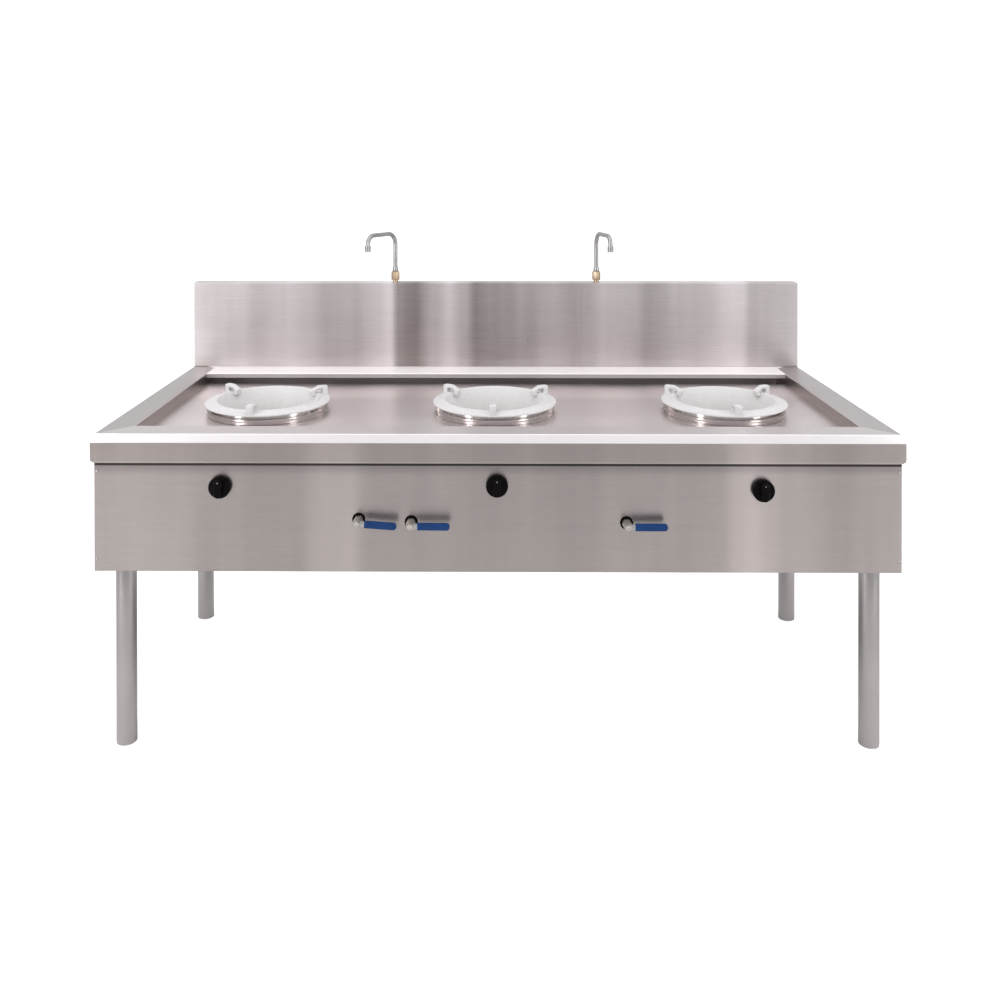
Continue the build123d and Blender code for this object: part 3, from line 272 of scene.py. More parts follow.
# %% [markdown]
# ## Ramps of tone
# A long brushed sheet is never one tone: it carries soft upright bands, where it mirrors brighter
# and darker parts of a workshop, drawn out across the grain. The room here is too plain to throw
# them, so a ramp of greys holds the bands. Its stops are listed, and trimmed until a sheet is about
# as bright as in the photograph. The same helper makes ramps over height, depth and the slope of a
# face.


# %% A soft ramp
def tone_ramp(tree, value, stops, low=-1.0, high=1.0):
    """A soft ramp of tones over value: stops are (value, tone from 0 to 1)."""
    span = node(tree, "MapRange", {"Value": value, "From Min": low, "From Max": high})
    ramp = node(tree, "ValToRGB", {"Fac": span.outputs["Result"]})
    ramp.color_ramp.interpolation = "EASE"
    elements = ramp.color_ramp.elements
    while len(elements) < len(stops):
        elements.new(0.5)
    for element, (at, tone) in zip(elements, stops):
        element.position = (at - low) / (high - low)
        element.color = (tone, tone, tone, 1)
    return ramp.outputs["Color"]


print("ramp helper ready")

# %% [markdown]
# ## Sheen and grain over the bands
# Ramps alone look airbrushed. They are broken up at three sizes: wide random waves across the
# sheet, which are a painted sheen, and the grain's narrow streaks along it and fine lines. They
# could be mixed as colours, but added as numbers, each with its weight, they stay even. The
# highlight is drawn out across the grain, as on real brushed steel: its tangent is the surface
# normal crossed with the grain.

# %% Sheen, grain and highlight
# The wide waves are a painted sheen; the streaks and fine lines are grain
sheen_wave_weight, streak_weight, line_weight = 0.45, 0.08, 0.3
mean_sheen_and_grain = (sheen_wave_weight + streak_weight + line_weight) / 2  # a noise is 0.5 on average


def with_sheen_and_grain(tree, band, lines, along):
    """The tone of the bands with waves of painted sheen, and streaks and fine lines of grain, laid
    over it.
    """
    sheen_waves = use(tree, grain, stretch=tuple(16.0 if part else 1.4 for part in along))
    tone = band
    for wobble, weight in (
        (sheen_waves.outputs["Streak"], sheen_wave_weight),
        (lines.outputs["Streak"], streak_weight),
        (lines.outputs["Height"], line_weight),
    ):
        added = node(tree, "Math", {0: wobble, 1: weight, 2: tone}, operation="MULTIPLY_ADD")
        tone = added.outputs[0]
    evened = node(tree, "Math", {0: tone, 1: mean_sheen_and_grain}, operation="SUBTRACT")
    return evened.outputs[0]


def draw_out_highlight(tree, shader, normal, along):
    """Gives the shader a tangent that lies across the grain."""
    across = node(tree, "VectorMath", {0: normal, 1: along}, operation="CROSS_PRODUCT")
    nudged = node(  # keeps it from being nothing on faces that look along the grain
        tree, "VectorMath", {0: across.outputs[0], 1: (0.012, 0.01, 0.014)}, operation="ADD"
    )
    tree.links.new(nudged.outputs[0], shader.inputs["Tangent"])


# The first weight is that of the painted sheen
print("weights of the grain:", sheen_wave_weight, streak_weight, line_weight)

# %% [markdown]
# ## Brushed sheet
# One material could be drawn for each sheet by hand. A function keeps them alike: a dark and a
# light tone, bands of painted reflection along X, and where a sheet needs them, slopes, a painted
# highlight that turns an edge that faces the lights nearly white, and a painted shade along Z or Y,
# which darkens what lies under a rim.

# %% A brushed steel for each sheet
# Near white for a painted highlight, near black for a painted shadow
painted_highlight = (1.0, 0.96, 0.95)
painted_shadow = (0.02, 0.018, 0.018)


def brushed(name, dark, light, bands, along=(1, 0, 0), roughness=0.3, spin=0.6, painted_slope_light=None,
            painted_shade=None, painted_shade_axis="Z", metallic=1.0):
    """Brushed steel: painted reflection bands (x in metres, tone), painted highlight by slope
    (normal's z, tone), painted shade (z or y, tone).
    """
    made, tree, shader = new_material(name, metallic=metallic, anisotropic=spin)
    where = node(tree, "TexCoord")
    axes = node(tree, "SeparateXYZ", {0: where.outputs["Object"]})
    geometry = node(tree, "NewGeometry")
    lines = use(tree, grain, stretch=tuple(1.0 if part else 60.0 for part in along))
    marks = use(tree, mottle, scale=3.0, contrast=1.6)
    band = tone_ramp(tree, axes.outputs["X"], bands)
    colour = between(tree, with_sheen_and_grain(tree, band, lines, along), dark, light)
    # Painted highlight: the colour turns towards near white by the slope of the face
    if painted_slope_light:
        tilt = node(tree, "SeparateXYZ", {0: geometry.outputs["Normal"]})
        painted_shine = tone_ramp(tree, tilt.outputs["Z"], painted_slope_light, 0.0, 1.0)
        colour = between(tree, painted_shine, colour, painted_highlight)
    # Painted shade: the colour turns towards near black along Z or Y
    if painted_shade:
        shown = tone_ramp(tree, axes.outputs[painted_shade_axis], painted_shade, painted_shade[0][0], painted_shade[-1][0])
        colour = between(tree, shown, painted_shadow, colour)
    tree.links.new(colour, shader.inputs["Base Color"])
    dull = between(tree, marks.outputs["Mask"], roughness - 0.05, roughness + 0.07)
    tree.links.new(dull, shader.inputs["Roughness"])
    bump = node(
        tree, "Bump", {"Height": lines.outputs["Height"], "Strength": 0.12, "Distance": 0.001}
    )
    tree.links.new(bump.outputs[0], shader.inputs["Normal"])
    draw_out_highlight(tree, shader, geometry.outputs["Normal"], along)
    return made


print("brushed sheet ready")

# %% [markdown]
# ## Steels of the panels and rims
# The front panel and the front rim face the same way, so they share their bands of painted
# reflection. On a rim the bevelled edge catches the light as a painted highlight, while its flat
# top mirrors a duller part of the room, by a painted tone of its own. The apron is painted a little
# darker, as painted shade, except for a painted highlight along its lower edge. The panels stand
# back under the apron. The lights alone would leave its shadow there too pale, so a painted shade
# darkens it, in a sharp step near their top edge.

# %% Panels and rims
# Painted reflections: soft upright bands of tone along X that stand in for a mirrored room
panel_painted_reflections = (
    (-1.0, 0.3), (-0.82, 0.36), (-0.62, 0.24), (-0.5, 0.2), (-0.42, 0.6), (-0.36, 0.64),
    (-0.32, 0.3), (-0.2, 0.24), (-0.12, 0.33), (0.02, 0.28), (0.2, 0.2), (0.35, 0.36),
    (0.55, 0.4), (0.59, 0.82), (0.63, 1.0), (0.67, 0.76), (0.71, 0.5), (0.85, 0.3),
    (0.95, 0.42), (1.0, 0.46),
)
even_painted_reflections = ((-1.0, 0.4), (-0.5, 0.6), (0.0, 0.4), (0.5, 0.6), (1.0, 0.5))
# Painted shadow under the apron, in a sharp step near the top of the panels
painted_shadow_under_rim = (
    (0.465, 1.0), (0.70, 1.0), (0.7255, 0.72), (0.7275, 0.1), (0.735, 0.0), (0.7356, 1.0)
)


def painted_bevel_light(flat):
    """Painted light by slope on a rim: dark upright, a painted highlight on the bevel, and a
    painted tone flat on its top.
    """
    return (0.0, 0.0), (0.12, 1.0), (0.7, 1.0), (0.97, flat), (1.0, flat)


rim_steel = brushed(
    "rim_steel", (0.34, 0.30, 0.285), (0.64, 0.57, 0.55), panel_painted_reflections, painted_slope_light=painted_bevel_light(0.55),
    # Painted shade on the apron, with a painted highlight along its lower edge
    painted_shade=((0.735, 1.0), (0.7375, 1.0), (0.7395, 0.84), (0.784, 0.84), (0.786, 1.0)),
)
side_rim_steel = brushed(
    "side_rim_steel", (0.34, 0.305, 0.295), (0.46, 0.42, 0.405), even_painted_reflections, along=(0, 1, 0),
    painted_slope_light=painted_bevel_light(0.28),
)
panel_steel = brushed(
    "panel_steel", (0.305, 0.273, 0.26), (0.58, 0.52, 0.50), panel_painted_reflections, painted_shade=painted_shadow_under_rim
)
side_panel_steel = brushed(
    "side_panel_steel", (0.33, 0.295, 0.28), (0.48, 0.43, 0.413), even_painted_reflections, along=(0, 1, 0),
    painted_shade=painted_shadow_under_rim,
)
print("steels:", [m.name for m in (rim_steel, side_rim_steel, panel_steel, side_panel_steel)])

# %% [markdown]
# ## Steels of the top
# The worktop lies open to the light and is the brightest sheet, a lighter copy of the steel as
# painted light, made a little darker towards the front by painted shade, and left light at the rear
# as a painted reflection of the backsplash. The backsplash mirrors most of the room, so it has the
# strongest bands of painted reflection, and painted shade at its foot. The gutter is a darker copy,
# as painted shade in the slot under the ledge. The ledge is dull, and pale on top as a painted
# highlight. They could share one steel, but these lit and shaded copies are what tells the sheets
# apart from the front.

# %% Worktop, gutter, backsplash and ledge
# Painted reflections of the room on the worktop and the backsplash, as tones along X
worktop_painted_reflections = (
    (-1.0, 1.0), (-0.82, 0.95), (-0.6, 0.5), (-0.5, 0.55), (0.0, 0.4), (0.5, 0.55), (1.0, 0.6)
)
splash_painted_reflections = (
    (-0.93, 0.48), (-0.83, 0.62), (-0.8, 0.53), (-0.63, 0.64), (-0.47, 0.48), (-0.385, 0.76),
    (-0.345, 0.89), (-0.32, 0.16), (-0.26, 0.0), (-0.2, 0.46), (-0.15, 0.78), (-0.1, 0.49),
    (-0.06, 0.17), (0.04, 0.24), (0.09, 0.4), (0.3, 0.32), (0.36, 0.6), (0.43, 0.55), (0.5, 0.42),
    (0.62, 0.6), (0.77, 0.77), (0.81, 0.75), (0.84, 0.46), (0.93, 0.44),
)
# The lightest copy of the steel: painted light on the open worktop
worktop_steel = brushed(
    "worktop_steel", (0.83, 0.758, 0.747), (0.94, 0.866, 0.856), worktop_painted_reflections, roughness=0.34,
    # Painted shade towards the front and middle, and a painted reflection of the backsplash at the
    # rear
    painted_shade=((-0.35, 0.88), (-0.17, 0.88), (-0.08, 0.83), (0.05, 0.83), (0.14, 1.0), (0.31, 1.0)),
    painted_shade_axis="Y",
)
# A darker copy of the steel: painted shade in the slot under the ledge
gutter_steel = brushed(
    "gutter_steel", (0.56, 0.51, 0.495), (0.66, 0.605, 0.595), even_painted_reflections, roughness=0.4
)
splash_steel = brushed(
    "splash_steel", (0.31, 0.272, 0.265), (0.94, 0.88, 0.88), splash_painted_reflections,
    # Painted shade at the foot of the backsplash
    painted_shade=((0.8, 0.9), (0.85, 1.0), (1.081, 1.0)),
)
ledge_steel = brushed(
    "ledge_steel", (0.32, 0.29, 0.285), (0.42, 0.392, 0.387), even_painted_reflections, roughness=0.5,
    # Painted highlight on the ledge's top
    spin=0.3, painted_slope_light=((0.0, 0.0), (0.3, 0.9), (1.0, 0.9)), metallic=0.3,
)
print("steels:", [m.name for m in (worktop_steel, gutter_steel, splash_steel, ledge_steel)])

# %% [markdown]
# ## The other finishes
# Each of them is a base colour that the mottle group varies, a roughness that follows the same
# mask and a small bump. Polished and chromed metal differ from brushed sheet by their low
# roughness, castings by their coarse bump, paint and plastic by not being metal. An image could
# hold such marks, but noise needs no unwrapping and has no seams.


# %% A finish with a mottled surface
def finish(name, dark, light, roughness, scale, depth, metallic=0.0, contrast=2.0, **constants):
    """A finish whose colour, roughness and height vary with the mottle group."""
    made, tree, shader = new_material(name, metallic=metallic, **constants)
    marks = use(tree, mottle, scale=scale, contrast=contrast)
    mask = marks.outputs["Mask"]
    smooth, rough = roughness
    tree.links.new(between(tree, mask, dark, light), shader.inputs["Base Color"])
    tree.links.new(between(tree, mask, rough, smooth), shader.inputs["Roughness"])
    bump = node(
        tree, "Bump", {"Height": marks.outputs["Height"], "Strength": 0.4, "Distance": depth}
    )
    tree.links.new(bump.outputs[0], shader.inputs["Normal"])
    return made


print("finish helper ready")

# %% [markdown]
# ## A list of finishes
# Each finish could have a cell of its own, but they differ only in numbers, so one list holds
# them all. A row is the dark and the light tone, the roughness of the light and of the dark marks,
# the scale of the marks, the depth of the bump in metres, and for a metal how metallic it is.

# %% All the finishes
looks = {
    "tube_steel": ((0.36, 0.34, 0.335), (0.40, 0.375, 0.37), (0.2, 0.24), 9, 4e-6, 1.0),
    "polished_steel": ((0.42, 0.385, 0.375), (0.50, 0.46, 0.45), (0.12, 0.2), 20, 1e-5, 1.0),
    "ring_casting": ((0.63, 0.615, 0.615), (0.70, 0.685, 0.685), (0.42, 0.52), 90, 1e-4),
    "bare_casting": ((0.10, 0.10, 0.10), (0.20, 0.19, 0.18), (0.5, 0.7), 120, 4e-4, 0.6),
    "chamber_steel": ((0.34, 0.33, 0.32), (0.46, 0.44, 0.43), (0.35, 0.5), 12, 5e-5, 1.0),
    "lining": ((0.55, 0.50, 0.42), (0.72, 0.67, 0.58), (0.8, 0.95), 90, 6e-4),
    "brass": ((0.42, 0.32, 0.22), (0.52, 0.40, 0.29), (0.32, 0.45), 30, 2e-5, 1.0),
    "gas_pipe_paint": ((0.50, 0.36, 0.05), (0.62, 0.45, 0.08), (0.35, 0.5), 25, 8e-5),
    "feed_tube": ((0.52, 0.26, 0.14), (0.66, 0.36, 0.22), (0.25, 0.4), 22, 2e-5, 1.0),
    "frame_paint": ((0.30, 0.31, 0.32), (0.38, 0.39, 0.40), (0.4, 0.55), 18, 6e-5),
    "chrome": ((0.36, 0.35, 0.35), (0.42, 0.41, 0.41), (0.26, 0.34), 16, 1e-5, 1.0),
    "valve_body": ((0.48, 0.44, 0.40), (0.58, 0.54, 0.49), (0.34, 0.45), 60, 4e-5, 1.0),
    "knob_plastic": ((0.002, 0.0015, 0.0015), (0.004, 0.003, 0.003), (0.3, 0.42), 40, 3e-5),
    "sleeve_vinyl": ((0.001, 0.024, 0.105), (0.002, 0.036, 0.145), (0.28, 0.42), 50, 6e-5),
    "foot_plastic": ((0.40, 0.40, 0.40), (0.52, 0.52, 0.51), (0.4, 0.6), 45, 5e-5),
    "pointer_paint": ((0.10, 0.10, 0.10), (0.16, 0.16, 0.16), (0.4, 0.5), 200, 3e-5),
    "studio_floor": ((0.80, 0.80, 0.80), (0.83, 0.83, 0.83), (0.6, 0.8), 0.6, 1e-4),
}
extras = {
    "ring_casting": {"contrast": 1.3},
    "knob_plastic": {"specular_ior_level": 0.05},
    "sleeve_vinyl": {"specular_ior_level": 0.25},
}
finishes = {name: finish(name, *look, **extras.get(name, {})) for name, look in looks.items()}
print("finishes:", len(finishes))

# %% [markdown]
# ## The floor
# The range stands on pale paper, which a studio lights until it's as white as the wall. A
# brighter lamp would do it, but it would wash out the steel too. So the paper glows a little, and
# its Light Path node shows that glow to the camera alone.

# %% Floor
paper_glow = 0.62
ground = bmesh.new()
bmesh.ops.create_grid(ground, x_segments=2, y_segments=2, size=30.0)
floor_mesh = bpy.data.meshes.new("floor")
ground.to_mesh(floor_mesh)
ground.free()
floor_mesh.materials.append(finishes["studio_floor"])
floor = bpy.data.objects.new("floor", floor_mesh)
scene.collection.objects.link(floor)

paper = finishes["studio_floor"].node_tree
paper_shader = paper.nodes["Principled BSDF"]
ray = node(paper, "LightPath")
glow = node(
    paper, "Math", {0: ray.outputs["Is Camera Ray"], 1: paper_glow}, operation="MULTIPLY"
)
paper.links.new(glow.outputs[0], paper_shader.inputs["Emission Strength"])
paper_shader.inputs["Emission Color"].default_value = (1, 1, 1, 1)
print("floor faces:", len(floor_mesh.polygons))

# %% [markdown]
# ## Dressing the sheets
# The folded sheets, the frame and the brackets could be modelled anew, but their flat faces are
# right as the CAD has them. Only what their material slots hold is changed, so nothing moves. Each
# sheet takes the steel whose grain runs its way.

# %% Materials on the CAD nodes
sheet_steels = {
    "worktop": worktop_steel,
    "rear_gutter": gutter_steel,
    "front_rim": rim_steel,
    "left_rim": side_rim_steel,
    "right_rim": side_rim_steel,
    "rear_ledge": ledge_steel,
    "backsplash": splash_steel,
    "backsplash_rear_cover": panel_steel,
    "front_panel": panel_steel,
    "rear_panel": panel_steel,
    "left_side_panel": side_panel_steel,
    "right_side_panel": side_panel_steel,
}
for name, cad_node in nodes.items():
    material = sheet_steels.get(name) or finishes[slot_of[name]]
    cad_node.data.materials.clear()
    cad_node.data.materials.append(material)
print("dressed CAD nodes:", len(nodes))

# %% [markdown]
# ## From a bmesh to a piece
# Every new piece ends the same way, so one helper does it: the bmesh becomes a mesh, its faces are
# smooth except over sharp edges, it rides on the body of the CAD node that it stands for, and
# takes its finish. A copy of a CAD node also brings stored normals, which don't fit once its
# corners are merged, so they are dropped. The place of a piece is in its vertices, so its object
# stays at the origin.


# %% Finish a piece
def show(name, form, *stands_for, material=None, sharp=35):
    """Makes form a piece that replaces CAD nodes and rides where the first of them does."""
    first = stands_for[0]
    mesh = bpy.data.meshes.new(name)
    form.to_mesh(mesh)
    form.free()
    old_normals = mesh.attributes.get("custom_normal")
    if old_normals:  # a copy of a CAD node brings normals that don't fit its merged corners
        mesh.attributes.remove(old_normals)
    mesh.shade_smooth()
    mesh.set_sharp_from_angle(angle=math.radians(sharp))
    mesh.materials.append(material or finishes[slot_of[first]])
    piece = bpy.data.objects.new(name, mesh)
    scene.collection.objects.link(piece)
    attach(piece, body_of[first])
    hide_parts(*stands_for)
    return piece


def middle(name):
    """The middle of a CAD node's box."""
    low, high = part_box(name)
    return (low + high) / 2


def standing_at(name):
    """Where the upright axis of a CAD node meets the floor."""
    centre = middle(name)
    return centre.x, centre.y, 0


mm = 0.001  # the sections below are drawn in millimetres

# %% [markdown]
# ## Turned pieces
# Rings, collars, legs, nuts and knobs are round. They could start from a cylinder that is cut and
# scaled, but a turner draws half the section and spins it, and so does this helper. The corners of
# the section are rounded first, while they are only points.


# %% Spin a section
def turned(points, rounding=0.0, steps=64, closed=True):
    """Spins a section of (radius, height) points, in mm, about the Z axis at the origin."""
    form = bmesh.new()
    corners = [form.verts.new((r * mm, 0, z * mm)) for r, z in points]
    for start, end in zip(corners, corners[1:]):
        form.edges.new((start, end))
    if closed:
        form.edges.new((corners[-1], corners[0]))
    if rounding:
        bmesh.ops.bevel(
            form, geom=form.verts[:], offset=rounding * mm, segments=2, affect="VERTICES",
            profile=0.5, material=-1, clamp_overlap=True,
        )
    bmesh.ops.spin(
        form, geom=form.verts[:] + form.edges[:], cent=(0, 0, 0), axis=(0, 0, 1),
        angle=2 * math.pi, steps=steps, use_merge=True,
    )
    bmesh.ops.remove_doubles(form, verts=form.verts, dist=1e-6)
    bmesh.ops.recalc_face_normals(form, faces=form.faces)
    return form


def placed(form, place, matrix=None):
    """Turns a form by matrix, if there is one, and moves it to place, in metres."""
    bmesh.ops.transform(
        form, matrix=Matrix.Translation(place) @ (matrix or Matrix.Identity(4)), verts=form.verts
    )
    return form


def joined(forms):
    """One bmesh that holds all the forms."""
    whole = bmesh.new()
    for form in forms:
        mesh = bpy.data.meshes.new("part")
        form.to_mesh(mesh)
        form.free()
        whole.from_mesh(mesh)
        bpy.data.meshes.remove(mesh)
    return whole


test_washer = turned(((1, 0), (2, 0), (2, 1), (1, 1)))
print("spin test volume:", round(test_washer.calc_volume() * 1e9, 2), "cubic mm")
test_washer.free()

# %% [markdown]
# ## Rounded edges
# Real metal and plastic have no knife edges, and a rounded edge catches a thin line of light. A
# Bevel modifier would round every edge by the same amount. Here the edges are picked first, by
# their angle or by where they are, so one form can have far and near roundings.


# %% Round the edges of a form
def rounded(form, offset, segments, chosen=None):
    """Rounds the chosen edges, or every sharp one, by offset in mm."""
    edges = chosen or [
        e for e in form.edges if e.is_manifold and e.calc_face_angle() > math.radians(40)
    ]
    bmesh.ops.bevel(
        form, geom=edges, offset=offset * mm, segments=segments, affect="EDGES",
        profile=0.5, material=-1,
    )
    return form


def grown_verts(grown):
    """The vertices among what an extrusion gave back."""
    return [v for v in grown["geom"] if isinstance(v, bmesh.types.BMVert)]


print("edge helpers ready")

# %% [markdown]
# ## Wok rings
# A cast ring sits on each collar and holds the wok. It has a flange, a low lip round a wide mouth,
# a funnel down to the fire, and three ears that hold the wok off the flame. Its body could be
# lathed with a Screw modifier, but spinning the section here keeps all pieces alike.

# %% The section of a ring
seat = 799  # height of the collar's top, in mm
ring_section = (
    (173, seat), (173, seat + 4), (147, seat + 7), (145.5, seat + 11), (140, seat + 11),
    (137, seat + 6), (104, seat - 51), (110, seat - 51), (138, seat - 4), (150.5, seat - 4),
    (150.5, seat - 9), (156.5, seat - 9), (156.5, seat),
)
print("a ring is", 2 * ring_section[0][0], "mm across")

# %% [markdown]
# ## Ears
# Each ear has a window and reaches in over the mouth as a prong. It could be cut with a boolean,
# but two outlines, the outer and the window, joined by bridging, give clean faces that take a
# rounded edge. The flat ear is then extruded to its width.

# %% A windowed ear
ear_outline = (
    (171, seat + 1), (171, seat + 29), (146, seat + 29), (121, seat + 17), (121, seat + 3),
    (127, seat + 1),
)
window_outline = ((134, seat + 9), (157, seat + 9), (157, seat + 21), (134, seat + 21))
ear_width = 18  # in mm


def outline(form, points, rounding):
    """A closed loop of edges through (radius, height) points in mm, its corners rounded."""
    corners = [form.verts.new((r * mm, 0, z * mm)) for r, z in points]
    for start, end in zip(corners, corners[1:] + corners[:1]):
        form.edges.new((start, end))
    bmesh.ops.bevel(
        form, geom=corners, offset=rounding * mm, segments=4, affect="VERTICES",
        profile=0.5, material=-1,
    )


def cast_ear():
    """One windowed ear, standing on the +X side."""
    form = bmesh.new()
    outline(form, ear_outline, 2.0)
    outline(form, window_outline, 4.0)
    bmesh.ops.bridge_loops(form, edges=form.edges)
    bmesh.ops.translate(form, verts=form.verts, vec=(0, -ear_width / 2 * mm, 0))
    moved = grown_verts(bmesh.ops.extrude_face_region(form, geom=form.faces))
    bmesh.ops.translate(form, verts=moved, vec=(0, ear_width * mm, 0))
    bmesh.ops.recalc_face_normals(form, faces=form.faces)
    rims = [e for e in form.edges if e.is_manifold and e.calc_face_angle() > math.radians(60)]
    return rounded(form, 1.6, 3, rims)


test_ear = cast_ear()
print("ear test:", len(test_ear.faces), "faces")
test_ear.free()

# %% [markdown]
# ## Three rings
# The three rings are the same casting, set down a few degrees apart. Body and ears could be united
# with a boolean, but on a casting they only grow out of each other, so here they overlap.

# %% Cast rings
ring_turns = {"left": -4, "centre": -2, "right": 0}  # in degrees
for side, turn in ring_turns.items():
    parts = [turned(ring_section, rounding=1.2, steps=96)]
    for ear in range(3):
        swing = Matrix.Rotation(math.radians(turn - 90 + 120 * ear), 4, "Z")
        parts.append(placed(cast_ear(), (0, 0, 0), swing))
    casting = placed(joined(parts), standing_at(f"burner_collar_{side}"))
    ring = show(f"ring_{side}", casting, f"wok_ring_{side}")
    print(ring.name, "faces:", len(ring.data.polygons))

# %% [markdown]
# ## Burner collars
# The collar is a polished band of thin steel round each burner, with a bead rolled along its
# middle, a small foot and a turned-in top that the ring sits on. A band this thin could be a
# surface with a Solidify modifier. Spinning its closed section gives the same wall at once.

# %% Polished collars
top = 771  # worktop surface, in mm
collar_section = (
    (165, top + 10.5), (165, top + 1.5), (168, top + 1.5), (168, top), (163.5, top),
    (163.5, top + 26.5), (158, top + 26.5), (158, top + 28), (165, top + 28),
    (165, top + 17.5), (166.6, top + 16.6), (167.5, top + 14), (166.6, top + 11.4),
)
for side in ("left", "centre", "right"):
    name = f"burner_collar_{side}"
    collar = turned(collar_section, rounding=0.5, steps=128)
    show(f"collar_{side}", placed(collar, standing_at(name)), name)
print("collars: 3, radius", collar_section[2][0], "mm")

# %% [markdown]
# ## Steel of the legs
# The legs are tube, brushed from top to bottom. A painted shade darkens them upwards, into the
# shadow of the range, and the rear pair is a touch brighter, a lighter copy of the steel as painted
# light. One steel could do for all four, but the brushed sheet's function gives two as easily.

# %% Two steels for the legs
plain_bands = ((-1.0, 0.5), (1.0, 0.5))
# Painted shade: darker upwards, into the shadow of the range
leg_painted_shade = ((0.0, 1.0), (0.15, 0.95), (0.3, 0.76), (0.46, 0.72), (0.5, 0.66))
leg_steels = {}
for row, name, dark, light in (
    ("front", "leg_steel", (0.45, 0.42, 0.41), (0.53, 0.50, 0.49)),
    # The rear pair is a lighter copy of the steel: painted light
    ("rear", "rear_leg_steel", (0.47, 0.44, 0.43), (0.54, 0.51, 0.50)),
):
    leg_steels[row] = brushed(
        name, dark, light, plain_bands, along=(0, 0, 1), roughness=0.24, spin=0.3,
        painted_shade=leg_painted_shade,
    )
print("leg steels:", list(leg_steels))

# %% [markdown]
# ## Legs and feet
# Four round tubes stand on plastic plugs with a domed underside. A leg could be a plain cylinder,
# but its lower edge and the thin joint above the plug are what the eye looks for, so both are
# turned from a section with small rounded corners.

# %% Legs
leg_section = ((23.9, 4.4), (25.4, 4.4), (25.4, 502), (23.9, 502))
plug_section = ((0, 0), (22, 0), (25.2, 1.6), (25.2, 4), (23.6, 4.2), (0, 4.2))
plugs = []
for row in ("front", "rear"):
    for side in ("left", "right"):
        name = f"leg_{row}_{side}"
        leg = turned(leg_section, rounding=0.5, steps=48)
        plug = turned(plug_section, steps=48, closed=False)
        leg_steel = leg_steels[row]
        show(name + "_tube", placed(leg, standing_at(name)), name, material=leg_steel)
        plugs.append(placed(plug, standing_at(name)))
show("leg_plugs", joined(plugs), "foot_plugs")
print("legs:", len(plugs))

# %% [markdown]
# ## Grip of a gas knob
# A black moulded knob has an upright bar to grip. The bar could be a stretched cube, but its ends
# are round: a disc whose upper and lower halves are moved apart makes that outline. It is then
# extruded, tapered and rounded.

# %% The grip
facing = Matrix.Rotation(math.radians(90), 4, "X")  # turns +Z to point at the cook
grip_width, grip_length, grip_height = 21, 45, 15  # in mm
grip_taper = (0.93, 0.98, 1)


def grip_bar():
    """The bar of a knob, standing up from Z 0, its front edge rounded."""
    form = bmesh.new()
    sides = 32
    bmesh.ops.create_circle(form, cap_ends=True, radius=grip_width / 2 * mm, segments=sides)
    half_step = Matrix.Rotation(math.pi / sides, 3, "Z")  # so that no corner is on the X axis
    bmesh.ops.rotate(form, verts=form.verts, cent=(0, 0, 0), matrix=half_step)
    for end in (-1, 1):
        half = [v for v in form.verts if v.co.y * end > 0]
        apart = end * (grip_length - grip_width) / 2 * mm
        bmesh.ops.translate(form, verts=half, vec=(0, apart, 0))
    front = grown_verts(bmesh.ops.extrude_face_region(form, geom=form.faces))
    bmesh.ops.translate(form, verts=front, vec=(0, 0, grip_height * mm))
    bmesh.ops.scale(form, verts=front, vec=grip_taper)
    bmesh.ops.recalc_face_normals(form, faces=form.faces)
    return rounded(form, 3, 5, [e for e in form.edges if all(v in front for v in e.verts)])


test_grip = grip_bar()
print("grip test:", len(test_grip.faces), "faces")
test_grip.free()

# %% [markdown]
# ## Gas knobs
# The grip stands on a round skirt, with a faint grey dot near its tip that points to the setting.
# The dot could be painted on by the material, but a small raised disc stays sharp and turns with
# the knob.

# %% Knobs
skirt_depth = 13  # in mm
skirt_section = (
    (0, 0), (26.4, 0), (27, 2), (27, 11), (26.4, 12.4), (25, skirt_depth), (0, skirt_depth)
)
dot_section = ((0, 0), (2.1, 0), (1.9, 0.4), (0, 0.5))
dot_height = 16  # above the knob's middle, in mm
for side in ("left", "centre", "right"):
    low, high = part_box(f"gas_knob_{side}")
    hub = ((low.x + high.x) / 2, high.y, (low.z + high.z) / 2)
    skirt = turned(skirt_section, closed=False)
    grip = placed(grip_bar(), (0, 0, skirt_depth * mm))
    show(f"knob_{side}", placed(joined([skirt, grip]), hub, facing), f"gas_knob_{side}")
    tip = (hub[0], low.y + 0.4 * mm, hub[2] + dot_height * mm)
    dot = placed(turned(dot_section, steps=24, closed=False), tip, facing)
    show(f"pointer_{side}", dot, f"gas_knob_{side}", material=finishes["pointer_paint"])
print("knob hub:", tuple(round(c, 4) for c in hub))

# %% [markdown]
# ## Blocks and hexagons
# The levers and nuts start from flat shapes. They could be extruded from outlines, but a stretched
# cube and a cylinder with six sides are there at once, and rounding their edges makes them real.


# %% Flat shapes
def block(low, high):
    """A block between two corners, in mm."""
    form = bmesh.new()
    bmesh.ops.create_cube(form, size=1.0)
    size = [(b - a) * mm for a, b in zip(low, high)]
    centre = [(b + a) / 2 * mm for a, b in zip(low, high)]
    bmesh.ops.scale(form, verts=form.verts, vec=size)
    bmesh.ops.translate(form, verts=form.verts, vec=centre)
    return form


def hexagon(across, height, corner=0.6):
    """A hexagonal nut on the XY plane, in mm, its corners eased."""
    form = bmesh.new()
    radius = across / math.sqrt(3) * mm
    bmesh.ops.create_cone(
        form, cap_ends=True, segments=6, radius1=radius, radius2=radius, depth=height * mm
    )
    bmesh.ops.translate(form, verts=form.verts, vec=(0, 0, height / 2 * mm))
    return rounded(form, corner, 2)


test_nut = hexagon(across=10, height=10)
print("nut test:", len(test_nut.faces), "faces")
test_nut.free()

